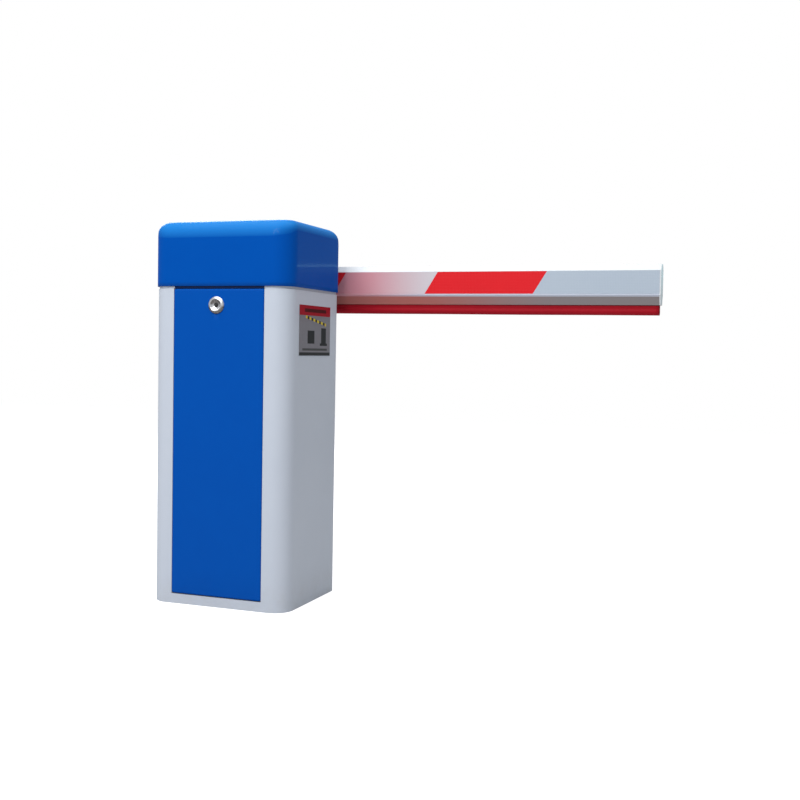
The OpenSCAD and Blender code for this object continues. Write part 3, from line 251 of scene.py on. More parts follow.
# the lock shows as a domed ring round a dish, with a nut behind the door
lockShape = {"proud": 0.0069, "barrel": 0.011, "bore": 0.0062, "crest": 0.64, "dish": 0.3,
             "dishPoints": 12, "domePoints": 16, "sides": 96}
nutShape = {"inner": 0.0112, "outer": 0.0165, "near": 0.002, "far": 0.008, "round": 0.0008, "steps": 4,
            "sides": 6}


def lockProfile(s):
    # domed ring round a dish, then its barrel down to the cam, as one closed line: from the crest
    # the outside falls along a quarter ellipse and the dish along a parabola
    low, high = span("lock_housing")
    front, back = -s["proud"], high[1] - span("door_panel")[0][1]
    half = (high[0] - low[0]) / 2
    crest = s["crest"] * half
    t = np.linspace(0, 1, s["dishPoints"])
    dish = np.stack([s["bore"] + (crest - s["bore"]) * t, front * (s["dish"] + (1 - s["dish"]) * t ** 2)], -1)
    turn = np.radians(np.linspace(0, 90, s["domePoints"]))[1:]
    dome = np.stack([crest + (half - crest) * np.sin(turn), front * np.cos(turn)], -1)
    inside, outside = [(s["bore"], back)], [(s["barrel"], 0.0), (s["barrel"], back), (s["bore"], back)]
    return np.concatenate([inside, dish, dome, outside])


lockLow, lockHigh = span("lock_housing")
lockCentre = ((lockLow[0] + lockHigh[0]) / 2, span("door_panel")[0][1], (lockLow[2] + lockHigh[2]) / 2)
lockPiece = lathe("lockRing", lockProfile(lockShape), lockCentre, lockShape["sides"])
nutCorners = [(nutShape[r], nutShape[y]) for r, y in (("inner", "near"), ("outer", "near"), ("outer", "far"),
                                                      ("inner", "far"), ("inner", "near"))]
nutPiece = lathe("lockNut", roundedPath(nutCorners, nutShape["round"], nutShape["steps"]), lockCentre,
                 nutShape["sides"])
for piece in (lockPiece, nutPiece):
    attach(piece, "door")
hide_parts("lock_housing")
print("stage: lock")

# two balance springs with an end loop at each end
springShape = {"wire": 0.005, "loop": 0.009, "tallLoop": 0.011, "loopSweep": 250, "loopPoints": 40,
               "neck": 0.008, "neckTurns": 0.45, "neckStart": 0.02, "neckPower": 0.7, "endTurns": 3,
               "closePitch": 1.04, "aimPitch": 0.0118, "turnPoints": 28, "blur": 5, "sides": 12,
               "leverReach": 0.075}


def tube(path, radius, sides):
    # a circle carried along a path: each ring stands square to the path, turned as little as it
    # can be from the ring before
    step = np.gradient(path, axis=0)
    along = step / np.linalg.norm(step, axis=1, keepdims=True)
    across = np.cross(along[0], [0.31, 0.87, 0.38])  # any direction that the path doesn't start in
    frames = []
    for t in along:
        across = across - t * (across @ t)
        across = across / np.linalg.norm(across)
        frames.append(across)
    first = np.array(frames)
    second = np.cross(along, first)
    a = np.linspace(0, 2 * np.pi, sides, endpoint=False)[None, :, None]
    return path[:, None] + radius * (first[:, None] * np.cos(a) + second[:, None] * np.sin(a))


def springPath(s, x, y, low, high, coil):
    # end loop in the YZ plane, a short neck, close end turns, the open coil, and the same again on
    # top; heights follow the turns' own pitch, and the radius grows from the neck over the first
    # part of a turn; the top loop is taller, so that it still clears the hanger's bar when the
    # spring is short
    loopTurn = np.radians(np.linspace(-s["loopSweep"], 90, s["loopPoints"]))
    bottom = np.stack([0 * loopTurn, s["loop"] * np.cos(loopTurn),
                       low + s["loop"] * (1 + np.sin(loopTurn))], -1)
    topTurn = np.radians(np.linspace(-90, s["loopSweep"], s["loopPoints"]))
    top = np.stack([0 * topTurn, s["loop"] * np.cos(topTurn),
                    high - s["tallLoop"] * (1 - np.sin(topTurn))], -1)
    z0, z1 = low + 2 * s["loop"] + s["neck"], high - 2 * s["tallLoop"] - s["neck"]
    closed = s["endTurns"]
    pitch = s["wire"] * s["closePitch"]
    openTurns = round((z1 - z0 - 2 * closed * pitch) / s["aimPitch"])
    turns = np.linspace(0, openTurns + 2 * closed, (openTurns + 2 * closed) * s["turnPoints"])
    openPitch = (z1 - z0 - 2 * closed * pitch) / openTurns
    lift = (np.clip(turns, 0, closed) + np.clip(turns - closed - openTurns, 0, None)) * pitch
    z = z0 + lift + np.clip(turns - closed, 0, openTurns) * openPitch
    ends = np.minimum(turns, turns[-1] - turns)
    r = coil * np.clip(ends / s["neckTurns"], s["neckStart"], 1) ** s["neckPower"]
    a = 2 * np.pi * turns
    helix = np.stack([r * np.cos(a), r * np.sin(a), z], -1)
    path = np.concatenate([bottom, helix, top])
    # a running mean of a few points rounds the corners between the stretches
    kernel, pad = np.ones(s["blur"]) / s["blur"], s["blur"] // 2
    padded = np.concatenate([np.repeat(path[:1], pad, 0), path, np.repeat(path[-1:], pad, 0)])
    path = np.stack([np.convolve(padded[:, k], kernel, "valid") for k in range(3)], -1)
    return path + np.array([x, y, 0])


springLow, springHigh = span("balance_springs")
springY = (springLow[1] + springHigh[1]) / 2
springOuter = springHigh[1] - springY
wire = springShape["wire"] / 2
coil = springOuter - wire
springXs = (springLow[0] + springOuter, springHigh[0] - springOuter)
sides = springShape["sides"]
coilGrids = [tube(springPath(springShape, x, springY, springLow[2] + wire, springHigh[2] - wire, coil),
                  wire, sides) for x in springXs]
rows = coilGrids[0].shape[0]
startCap, endCap = np.arange(sides), (rows - 1) * sides + np.arange(sides)
oneCoil = list(gridFaces(rows, sides)) + [startCap[::-1], endCap]
shift = rows * sides
springPiece = meshPiece("springCoils", np.concatenate([g.reshape(-1, 3) for g in coilGrids]),
                        oneCoil + [f + shift for f in oneCoil])
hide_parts("balance_springs")
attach(springPiece, "cabinet")
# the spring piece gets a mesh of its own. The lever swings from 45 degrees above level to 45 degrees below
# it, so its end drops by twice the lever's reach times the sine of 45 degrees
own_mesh(springPiece)
print("stage: springs")

# the knob turns the motor by hand
knobShape = {"lobes": 6, "lobeDepth": 0.0035, "bore": 0.0082, "neck": 0.0142, "neckRise": 0.0115,
             "under": 0.0122, "rimRise": 0.016, "rimDrop": 0.004, "shoulder": 0.9, "edge": 0.004,
             "edgeSteps": 6, "dishR": 0.018,
             "dishFloor": 0.8, "dishDepth": 0.003, "middle": 0.0005, "sides": 144}


def knobGrid(s):
    # profile of radius and height turned round the worm's axis, its rim waved by a cosine of the lobes
    low, high = span("handwheel")
    centre = (low + high) / 2
    rim = (high[0] - low[0]) / 2
    neck, shoulder, bottom, top = s["neck"], rim * s["shoulder"], low[2], high[2]
    outline = roundedPath([(s["bore"], bottom), (neck, bottom), (neck, bottom + s["neckRise"]),
                           (shoulder, bottom + s["under"]), (rim, bottom + s["rimRise"]),
                           (rim, top - s["rimDrop"]), (shoulder, top), (s["dishR"], top),
                           (s["dishR"] * s["dishFloor"], top - s["dishDepth"]),
                           (s["middle"], top - s["dishDepth"])], s["edge"], s["edgeSteps"])
    a = np.linspace(0, 2 * np.pi, s["sides"], endpoint=False)
    r, z = outline[:, :1], outline[:, 1:]
    share = np.clip((r - neck) / (rim - neck), 0, 1)
    wave = r - share ** 2 * s["lobeDepth"] * (1 - np.cos(s["lobes"] * a))
    return np.stack([centre[0] + wave * np.cos(a), centre[1] + wave * np.sin(a), z + 0 * a], -1)


knobPiece = surface("handKnob", knobGrid(knobShape), capStart=True, capEnd=True)
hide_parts("handwheel")
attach(knobPiece, "rotor")
print("stage: hand knob")

# a soft edge hangs under the boom
rubberShape = {"foot": 0.0105, "bulb": 0.0108, "bulbPoints": 25, "rows": 90, "waver": 0.0004, "ripple": 0.6,
               "footSteps": [(-0.001, -0.0002), (0.0, -0.0012), (0.0, -0.0042)],  # from the foot's edge
               "waist": (0.86, -0.0062), "shoulder": (0.9, 0.003)}  # share of the bulb, and a height


def rubberGrid(s):
    # a closed outline of a flat foot and a round bulb, carried along X; the bulb wavers sideways and
    # up by the sum of two sines each
    low, high = span("boom_rubber")
    foot = span("boom_extrusion")[0][2]
    y = (low[1] + high[1]) / 2
    bulb, bottom = s["bulb"], low[2]
    a = np.radians(np.linspace(0, -180, s["bulbPoints"]))
    under = np.stack([bulb * np.cos(a), bottom + bulb + bulb * np.sin(a)], -1)
    right = np.array([(s["foot"] + out, foot + up) for out, up in s["footSteps"]]
                     + [(bulb * s["waist"][0], foot + s["waist"][1]),
                        (bulb * s["shoulder"][0], bottom + bulb + s["shoulder"][1])])
    left = right[::-1] * [-1, 1]
    outline = np.concatenate([right, under, left])
    x = np.linspace(low[0], high[0], s["rows"])
    share = np.clip((foot - outline[:, 1]) / (foot - bottom), 0, 1)
    ripple = s["ripple"]
    sway = s["waver"] * (np.sin(x * 9.1) + ripple * np.sin(x * 23.7 + 1.2))
    lift = s["waver"] * (1 + ripple + np.sin(x * 6.3 + 0.4) + ripple * np.sin(x * 17.3)) * 0.5
    return np.stack([x[:, None] + 0 * share, y + outline[:, 0] + sway[:, None] * share,
                     outline[:, 1] + lift[:, None] * share], -1)


rubberPiece = surface("rubberEdge", rubberGrid(rubberShape), flip=True, capStart=True, capEnd=True)
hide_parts("boom_rubber")
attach(rubberPiece, "boom")
print("stage: rubber edge")

# node groups that several finishes share


def feed(tree, socket, value):
    # a socket is linked; anything else becomes the input's own value
    if isinstance(value, bpy.types.NodeSocket):
        tree.links.new(value, socket)
    else:
        socket.default_value = value


def addNode(tree, kind, put=None, **settings):
    made = tree.nodes.new("ShaderNode" + kind)
    for key, value in settings.items():
        setattr(made, key, value)
    for key, value in (put or {}).items():
        feed(tree, made.inputs[key], value)
    return made


def calc(tree, operation, a, b=0.0, clamp=False):
    return addNode(tree, "Math", {0: a, 1: b}, operation=operation, use_clamp=clamp).outputs[0]


def mixColor(tree, share, a, b):
    # sockets 0, 6 and 7 are a colour mix's share and its two colours
    made = addNode(tree, "Mix", data_type="RGBA")
    for key, value in ((0, share), (6, a), (7, b)):
        feed(tree, made.inputs[key], value)
    return made.outputs[2]


def axisOf(tree, vector, axis):
    return addNode(tree, "SeparateXYZ", {0: vector}).outputs[axis]


def noiseOf(tree, place, scale, detail, roughness=0.5):
    return addNode(tree, "TexNoise", {"Vector": place, "Scale": scale, "Detail": detail,
                                      "Roughness": roughness}).outputs[0]


def facingUp(tree):
    return axisOf(tree, addNode(tree, "NewGeometry").outputs["Normal"], 2)


def softStep(tree, value, low, high):
    return addNode(tree, "MapRange", {"Value": value, "From Min": low, "From Max": high},
                   interpolation_type="SMOOTHSTEP", clamp=True).outputs[0]


def newGroup(name, inputs, outputs):
    group = bpy.data.node_groups.new(name, "ShaderNodeTree")
    for label, kind, value in inputs:
        socket = group.interface.new_socket(label, in_out="INPUT", socket_type="NodeSocket" + kind)
        if value is not None:
            socket.default_value = value
    for label, kind in outputs:
        group.interface.new_socket(label, in_out="OUTPUT", socket_type="NodeSocket" + kind)
    return group, group.nodes.new("NodeGroupInput").outputs, group.nodes.new("NodeGroupOutput").inputs


def buildGroups():
    made = {}
    # colour and roughness that drift slowly, with a finer mottle on top
    g, put, out = newGroup("surfaceTone", [("Place", "Vector", None), ("Color", "Color", (1, 1, 1, 1)),
                                           ("Second", "Color", (1, 1, 1, 1)), ("Scale", "Float", 4.0),
                                           ("Amount", "Float", 0.1), ("Rough", "Float", 0.4),
                                           ("RoughVary", "Float", 0.1)],
                           [("Color", "Color"), ("Rough", "Float")])
    drift = noiseOf(g, put["Place"], put["Scale"], 5.0, 0.6)
    fine = noiseOf(g, put["Place"], calc(g, "MULTIPLY", put["Scale"], 9.0), 3.0)
    both = calc(g, "ADD", calc(g, "MULTIPLY", drift, 0.7), calc(g, "MULTIPLY", fine, 0.3))
    share = calc(g, "MULTIPLY", softStep(g, both, 0.35, 0.65), put["Amount"], clamp=True)
    g.links.new(mixColor(g, share, put["Color"], put["Second"]), out["Color"])
    smear = noiseOf(g, put["Place"], calc(g, "MULTIPLY", put["Scale"], 3.3), 6.0, 0.7)
    g.links.new(calc(g, "ADD", put["Rough"], calc(g, "MULTIPLY", calc(g, "SUBTRACT", smear, 0.5),
                                                  put["RoughVary"]), clamp=True), out["Rough"])
    made["tone"] = g
    # rubbed edges: where a rounded normal leaves the face's own normal, broken up by noise
    g, put, out = newGroup("edgeWear", [("Place", "Vector", None), ("Width", "Float", 0.001),
                                        ("Amount", "Float", 0.5), ("Scale", "Float", 60.0)],
                           [("Mask", "Float")])
    rounded = addNode(g, "Bevel", {"Radius": put["Width"]}, samples=3).outputs[0]
    own = addNode(g, "NewGeometry").outputs["Normal"]
    same = addNode(g, "VectorMath", {0: rounded, 1: own}, operation="DOT_PRODUCT").outputs["Value"]
    edge = softStep(g, calc(g, "SUBTRACT", 1.0, same), 0.01, 0.16)
    breakUp = noiseOf(g, put["Place"], put["Scale"], 5.0)
    g.links.new(calc(g, "MULTIPLY", calc(g, "MULTIPLY", edge, softStep(g, breakUp, 0.42, 0.62)),
                     put["Amount"], clamp=True), out["Mask"])
    made["wear"] = g
    # dust that lies on upward faces and gathers towards the ground
    g, put, out = newGroup("settledDust", [("Place", "Vector", None), ("Amount", "Float", 0.3),
                                           ("Reach", "Float", 0.12)], [("Mask", "Float")])
    up = facingUp(g)
    height = axisOf(g, put["Place"], 2)
    lies = softStep(g, up, 0.55, 0.98)
    nearFoot = calc(g, "SUBTRACT", 1.0, softStep(g, calc(g, "DIVIDE", height, put["Reach"]), 0.0, 1.0))
    patchy = noiseOf(g, put["Place"], 26.0, 7.0, 0.65)
    total = calc(g, "MULTIPLY", calc(g, "MAXIMUM", lies, calc(g, "MULTIPLY", nearFoot, 0.8)),
                 softStep(g, patchy, 0.3, 0.75))
    g.links.new(calc(g, "MULTIPLY", total, put["Amount"], clamp=True), out["Mask"])
    made["dust"] = g
    # skins that only bend the normal: sprayed paint, cast grain, brushed lines
    g, put, out = newGroup("sprayedSkin", [("Place", "Vector", None), ("Scale", "Float", 420.0),
                                           ("Depth", "Float", 0.00002), ("Wave", "Float", 0.0003)],
                           [("Normal", "Vector")])
    peel = noiseOf(g, put["Place"], put["Scale"], 1.5)
    sheetWave = noiseOf(g, put["Place"], 7.0, 1.0)
    total = calc(g, "ADD", calc(g, "MULTIPLY", peel, put["Depth"]),
                 calc(g, "MULTIPLY", sheetWave, put["Wave"]))
    g.links.new(addNode(g, "Bump", {"Strength": 1.0, "Distance": 1.0, "Height": total}).outputs[0],
                out["Normal"])
    made["sprayed"] = g
    g, put, out = newGroup("castSkin", [("Place", "Vector", None), ("Scale", "Float", 500.0),
                                        ("Depth", "Float", 0.0001)], [("Normal", "Vector")])
    grain = noiseOf(g, put["Place"], put["Scale"], 3.0)
    pits = addNode(g, "TexVoronoi", {"Vector": put["Place"], "Scale": calc(g, "MULTIPLY", put["Scale"], 0.4)},
                   feature="SMOOTH_F1").outputs[0]
    total = calc(g, "MULTIPLY", calc(g, "ADD", grain, calc(g, "MULTIPLY", pits, 0.6)), put["Depth"])
    g.links.new(addNode(g, "Bump", {"Strength": 1.0, "Distance": 1.0, "Height": total}).outputs[0],
                out["Normal"])
    made["cast"] = g
    g, put, out = newGroup("brushedSkin", [("Place", "Vector", None), ("Stretch", "Vector", (1, 1, 1)),
                                           ("Scale", "Float", 900.0), ("Depth", "Float", 0.00001)],
                           [("Normal", "Vector")])
    drawn = addNode(g, "VectorMath", {0: put["Place"], 1: put["Stretch"]}, operation="MULTIPLY").outputs[0]
    lines = noiseOf(g, drawn, put["Scale"], 3.0)
    g.links.new(addNode(g, "Bump", {"Strength": 1.0, "Distance": 1.0,
                                    "Height": calc(g, "MULTIPLY", lines, put["Depth"])}).outputs[0],
                out["Normal"])
    made["brushed"] = g
    # a sharp-edged rectangle on two coordinates, for printed areas
    g, put, out = newGroup("printedPatch", [("Across", "Float", 0.0), ("Up", "Float", 0.0),
                                            ("Left", "Float", 0.0), ("Right", "Float", 1.0),
                                            ("Low", "Float", 0.0), ("High", "Float", 1.0)],
                           [("Mask", "Float")])
    inside = [calc(g, "GREATER_THAN", put["Across"], put["Left"]),
              calc(g, "LESS_THAN", put["Across"], put["Right"]),
              calc(g, "GREATER_THAN", put["Up"], put["Low"]), calc(g, "LESS_THAN", put["Up"], put["High"])]
    total = calc(g, "MULTIPLY", calc(g, "MULTIPLY", inside[0], inside[1]),
                 calc(g, "MULTIPLY", inside[2], inside[3]))
    g.links.new(total, out["Mask"])
    made["patch"] = g
    return made


groups = buildGroups()


def useGroup(tree, name, put):
    made = tree.nodes.new("ShaderNodeGroup")
    made.node_tree = groups[name]
    for key, value in put.items():
        feed(tree, made.inputs[key], value)
    return made.outputs


# each finish is a set of changes to the plain one
plain = {"second": None, "scale": 4.0, "amount": 0.5, "rough": 0.4, "roughVary": 0.12, "metallic": 0.0,
         "coat": 0.0, "coatRough": 0.12, "spec": 0.5, "skin": "sprayed", "skinScale": 420.0, "depth": 0.00002,
         "wave": 0.0, "stretch": (1.0, 1.0, 1.0), "wear": 0.0, "wearWidth": 0.0012,
         "wearColor": (0.5, 0.5, 0.51, 1), "dust": 0.0, "reach": 0.1, "dustColor": (0.34, 0.31, 0.27, 1)}
finishes = {
    "hoodBlue": {"color": (0.0003, 0.063, 0.335), "second": (0.0004, 0.068, 0.35), "rough": 0.34,
                 "roughVary": 0.08, "spec": 0.012, "coat": 0.045, "coatRough": 0.04, "depth": 0.000004,
                 "wave": 0.00008, "wear": 0.2, "wearColor": (0.05, 0.20, 0.46, 1)},
    "doorBlue": {"color": (0.0003, 0.063, 0.335), "second": (0.0004, 0.068, 0.35), "rough": 0.4, "spec": 0.04,
                 "roughVary": 0.08, "depth": 0.000012, "wave": 0.00025, "wear": 0.2,
                 "wearColor": (0.05, 0.20, 0.46, 1), "dust": 0.05, "dustColor": (0.04, 0.10, 0.26, 1)},
    "cabinetGrey": {"color": (0.455, 0.495, 0.565), "second": (0.475, 0.512, 0.58), "rough": 0.42,
                    "spec": 0.2, "depth": 0.000018, "wave": 0.0002, "wear": 0.4,
                    "wearColor": (0.30, 0.30, 0.31, 1), "dust": 0.22},
    "ledgePaint": {"color": (0.455, 0.495, 0.565), "rough": 0.45, "spec": 0.2},
    "primerGrey": {"color": (0.12, 0.12, 0.125), "second": (0.16, 0.155, 0.15), "rough": 0.6, "wear": 0.5,
                   "dust": 0.6, "depth": 0.00004},
    "zincPlate": {"color": (0.55, 0.56, 0.58), "second": (0.66, 0.64, 0.58), "scale": 22.0, "amount": 0.8,
                  "rough": 0.34, "roughVary": 0.25, "metallic": 1.0, "skin": "cast", "skinScale": 700.0,
                  "depth": 0.00002, "dust": 0.12},
    "plateSteel": {"color": (0.20, 0.21, 0.225), "second": (0.27, 0.27, 0.28), "scale": 9.0, "rough": 0.45,
                   "roughVary": 0.25, "metallic": 1.0, "skin": "cast", "depth": 0.00003, "wear": 0.6,
                   "wearColor": (0.55, 0.55, 0.56, 1), "dust": 0.1},
    "groundSteel": {"color": (0.56, 0.56, 0.57), "second": (0.48, 0.47, 0.46), "scale": 12.0, "rough": 0.24,
                    "roughVary": 0.2, "metallic": 1.0, "skin": "brushed", "stretch": (1.0, 0.02, 1.0),
                    "skinScale": 1200.0, "depth": 0.00001},
    "lockChrome": {"color": (0.80, 0.81, 0.83), "second": (0.74, 0.75, 0.77), "scale": 60.0, "rough": 0.30,
                   "roughVary": 0.12, "metallic": 1.0, "depth": 0.000004, "skinScale": 900.0},
    "plugMetal": {"color": (0.05, 0.05, 0.052), "second": (0.10, 0.10, 0.10), "scale": 120.0, "rough": 0.4,
                  "metallic": 1.0, "skin": "cast", "depth": 0.00002, "wear": 0.8},
    "castAlloy": {"color": (0.50, 0.505, 0.51), "second": (0.40, 0.40, 0.405), "scale": 14.0, "rough": 0.52,
                  "metallic": 0.9, "skin": "cast", "depth": 0.00012, "wear": 0.6,
                  "wearColor": (0.75, 0.75, 0.76, 1), "dust": 0.15},
    "clampWhite": {"color": (0.60, 0.625, 0.645), "second": (0.55, 0.575, 0.595), "rough": 0.4, "spec": 0.3,
                   "wear": 0.6, "wearColor": (0.35, 0.35, 0.36, 1), "dust": 0.2},
    "armOrange": {"color": (0.66, 0.20, 0.02), "second": (0.58, 0.16, 0.02), "rough": 0.42, "wear": 0.8,
                  "depth": 0.00004, "dust": 0.1},
    "motorBlue": {"color": (0.05, 0.10, 0.19), "second": (0.07, 0.125, 0.22), "scale": 30.0, "rough": 0.38,
                  "coat": 0.3, "skin": "cast", "skinScale": 260.0, "depth": 0.00025, "wear": 0.6,
                  "dust": 0.25},
    "bearingIron": {"color": (0.07, 0.09, 0.105), "second": (0.10, 0.11, 0.12), "scale": 18.0, "rough": 0.5,
                    "skin": "cast", "depth": 0.0002, "wear": 0.7, "dust": 0.15},
    "wheelBronze": {"color": (0.62, 0.36, 0.13), "second": (0.45, 0.25, 0.10), "scale": 35.0, "rough": 0.3,
                    "metallic": 1.0, "skin": "brushed", "stretch": (1.0, 0.05, 1.0), "depth": 0.00002},
    "sensorBrass": {"color": (0.68, 0.50, 0.22), "second": (0.58, 0.44, 0.22), "scale": 40.0, "rough": 0.3,
                    "metallic": 1.0, "skin": "cast", "depth": 0.00001},
    "blackRubber": {"color": (0.014, 0.014, 0.014), "second": (0.026, 0.025, 0.024), "scale": 30.0,
                    "rough": 0.68, "skin": "cast", "skinScale": 800.0, "depth": 0.00005, "dust": 0.5},
    "springBlack": {"color": (0.022, 0.022, 0.024), "second": (0.045, 0.042, 0.04), "scale": 60.0,
                    "rough": 0.34, "roughVary": 0.3, "metallic": 0.6, "skin": "cast", "depth": 0.00003,
                    "dust": 0.2},
    "boxGrey": {"color": (0.30, 0.31, 0.32), "second": (0.33, 0.34, 0.35), "rough": 0.55, "skin": "cast",
                "skinScale": 1400.0, "depth": 0.00003, "wear": 0.3, "wearColor": (0.42, 0.43, 0.44, 1),
                "dust": 0.3},
    "boxLight": {"color": (0.66, 0.66, 0.63), "second": (0.70, 0.69, 0.64), "scale": 20.0, "rough": 0.48,
                 "skin": "cast", "skinScale": 1400.0, "depth": 0.00002, "dust": 0.2},
    "boxBlack": {"color": (0.016, 0.016, 0.018), "second": (0.026, 0.026, 0.028), "rough": 0.5,
                 "skin": "cast", "skinScale": 1200.0, "depth": 0.00004, "dust": 0.3},
    "knobOrange": {"color": (0.72, 0.12, 0.02), "second": (0.64, 0.10, 0.02), "scale": 30.0, "rough": 0.36,
                   "coat": 0.25, "skin": "cast", "skinScale": 900.0, "depth": 0.00002, "dust": 0.15},
    "boardGreen": {"color": (0.012, 0.11, 0.045), "second": (0.02, 0.15, 0.06), "scale": 90.0, "rough": 0.3,
                   "coat": 0.5, "depth": 0.00001, "dust": 0.2},
    "boomWhite": {"color": (0.62, 0.65, 0.67), "second": (0.58, 0.61, 0.63), "rough": 0.38, "spec": 0.3,
                  "depth": 0.00001, "wear": 0.5, "wearColor": (0.42, 0.42, 0.43, 1)},
    "silverSheet": {"color": (0.34, 0.40, 0.475), "second": (0.36, 0.42, 0.49), "scale": 6.0, "rough": 0.36,
                    "spec": 0.3, "depth": 0.000004},
    "redSheet": {"color": (0.60, 0.0095, 0.016), "second": (0.56, 0.009, 0.015), "scale": 6.0, "rough": 0.36,
                 "spec": 0.08, "depth": 0.000004},
    "edgeRubber": {"color": (0.31, 0.006, 0.014), "second": (0.27, 0.005, 0.012), "scale": 12.0, "rough": 0.5,
                   "skin": "cast", "skinScale": 650.0, "depth": 0.00003, "spec": 0.06},
    "printedPlate": {"color": (0.17, 0.165, 0.185), "second": (0.195, 0.19, 0.21), "scale": 20.0,
                     "rough": 0.5, "spec": 0.1, "wear": 0.4, "wearWidth": 0.0006, "depth": 0.000008},
}


def surfaceOf(name, extra=None):
    s = dict(plain, **finishes[name])
    if s["second"] is None:
        s["second"] = s["color"]
    material = bpy.data.materials.new(name)
    material.use_nodes = True
    tree = material.node_tree
    tree.nodes.clear()
    place = addNode(tree, "TexCoord").outputs["Object"]
    tone = useGroup(tree, "tone", {"Place": place, "Color": (*s["color"], 1), "Second": (*s["second"], 1),
                                   "Scale": s["scale"], "Amount": s["amount"], "Rough": s["rough"],
                                   "RoughVary": s["roughVary"]})
    color, rough = tone["Color"], tone["Rough"]
    if extra:
        color = extra(tree, place, color)
    if s["wear"]:
        worn = useGroup(tree, "wear", {"Place": place, "Width": s["wearWidth"], "Amount": s["wear"]})["Mask"]
        color = mixColor(tree, worn, color, s["wearColor"])
        rough = calc(tree, "ADD", rough, calc(tree, "MULTIPLY", worn, 0.15), clamp=True)
    if s["dust"]:
        dusty = useGroup(tree, "dust", {"Place": place, "Amount": s["dust"], "Reach": s["reach"]})["Mask"]
        color = mixColor(tree, dusty, color, s["dustColor"])
        rough = calc(tree, "ADD", rough, calc(tree, "MULTIPLY", dusty, 0.4), clamp=True)
    bend = {"Place": place, "Scale": s["skinScale"], "Depth": s["depth"]}
    if s["skin"] == "brushed":
        bend["Stretch"] = s["stretch"]
    if s["skin"] == "sprayed":
        bend["Wave"] = s["wave"]
    skin = useGroup(tree, s["skin"], bend)
    shader = addNode(tree, "BsdfPrincipled", {"Base Color": color, "Roughness": rough,
                                              "Metallic": s["metallic"], "Coat Weight": s["coat"],
                                              "Coat Roughness": s["coatRough"],
                                              "Specular IOR Level": s["spec"], "Normal": skin["Normal"]})
    target = addNode(tree, "OutputMaterial", {"Surface": shader.outputs[0]})
    target.is_active_output = True
    return material


def paintPiece(piece, material):
    slots = piece.data.materials
    if len(slots) == 0:
        slots.append(material)
    for k in range(len(slots)):
        slots[k] = material


# what only one finish adds to its own colour
# painted red reflection and shade on the boom near the cabinet
filmReflectionShade = {"start": 0.205, "end": 0.46, "strength": 0.97, "color": (0.53, 0.215, 0.25, 1)}
bandReflectionShade = {"start": 0.36, "end": 0.80, "strength": 1.0, "color": (0.34, 0.105, 0.09, 1)}


def redReflectionShade(tree, place, color, s):
    # painted red reflection and shade near the cabinet: a tint that fades along the boom
    x = axisOf(tree, place, 0)
    fade = calc(tree, "SUBTRACT", 1.0, softStep(tree, x, s["start"], s["end"]))
    patchy = noiseOf(tree, place, 14.0, 3.0)
    share = calc(tree, "MULTIPLY", calc(tree, "MULTIPLY", fade, s["strength"]),
                 calc(tree, "ADD", 0.9, calc(tree, "MULTIPLY", patchy, 0.2)), clamp=True)
    return mixColor(tree, share, color, s["color"])


cellShape = {"scale": 260.0, "random": 0.25, "line": 0.03, "fade": 0.12}
silverWarm = {"start": 0.50, "end": 0.68, "color": (0.51, 0.485, 0.52, 1)}


def filmCells(tree, place, color, line, strength, s=cellShape):
    # faint sealed cells of reflective sheet: thin lines along the edges of small cells
    cells = addNode(tree, "TexVoronoi", {"Vector": place, "Scale": s["scale"], "Randomness": s["random"]},
                    feature="DISTANCE_TO_EDGE").outputs["Distance"]
    rim = calc(tree, "SUBTRACT", 1.0, softStep(tree, cells, s["line"], s["fade"]))
    return mixColor(tree, calc(tree, "MULTIPLY", rim, strength), color, line)


def silverExtra(tree, place, color, s=silverWarm):
    # the sheet is a little warmer and lighter towards the cabinet
    x = axisOf(tree, place, 0)
    color = mixColor(tree, softStep(tree, x, s["start"], s["end"]), s["color"], color)
    return redReflectionShade(tree, place, filmCells(tree, place, color, (0.60, 0.64, 0.70, 1), 0.2), filmReflectionShade)


def redExtra(tree, place, color):
    return filmCells(tree, place, color, (0.86, 0.12, 0.12, 1), 0.22)


filmFoot = float(span("film_silver")[0][2])
# the grey band under the rib is painted shade on a face that looks down
boomBands = {"rib": (-0.0008, 0.0004), "under": (-0.0074, -0.0062),  # fades, from the film's lower edge
             "silver": (0.44, 0.475, 0.56, 1), "grey": (0.20, 0.18, 0.185, 1), "tint": (0.50, 0.21, 0.24, 1)}


def boomExtra(tree, place, color, s=boomBands):
    # white enamel over the top, silver on the rib, and painted shade under it: a dark grey band
    z = axisOf(tree, place, 2)
    rib, under = (calc(tree, "SUBTRACT", 1.0, softStep(tree, z, filmFoot + s[k][0], filmFoot + s[k][1]))
                  for k in ("rib", "under"))
    silver = redReflectionShade(tree, place, s["silver"], dict(filmReflectionShade, color=s["tint"]))
    grey = redReflectionShade(tree, place, s["grey"], bandReflectionShade)
    return mixColor(tree, under, mixColor(tree, rib, color, silver), grey)


plateLow, plateHigh = span("info_plate")
platePrint = [  # left, right, low, high as shares of the plate, then the colour
    (0.0, 1.0, 0.80, 1.0, (0.29, 0.004, 0.014, 1)),
    (0.16, 0.86, 0.865, 0.935, (0.06, 0.002, 0.004, 1)),
    (0.70, 0.86, 0.24, 0.56, (0.012, 0.012, 0.013, 1)),
    (0.66, 0.90, 0.20, 0.25, (0.012, 0.012, 0.013, 1)),
    (0.26, 0.48, 0.24, 0.50, (0.012, 0.012, 0.013, 1)),
    (0.10, 0.90, 0.10, 0.145, (0.05, 0.05, 0.052, 1)),
    (0.0, 1.0, 0.0, 0.065, (0.018, 0.018, 0.02, 1))]
plateBar = {"left": 0.20, "right": 0.86, "low": 0.60, "high": 0.655, "slant": 0.22, "stripes": 8.0}


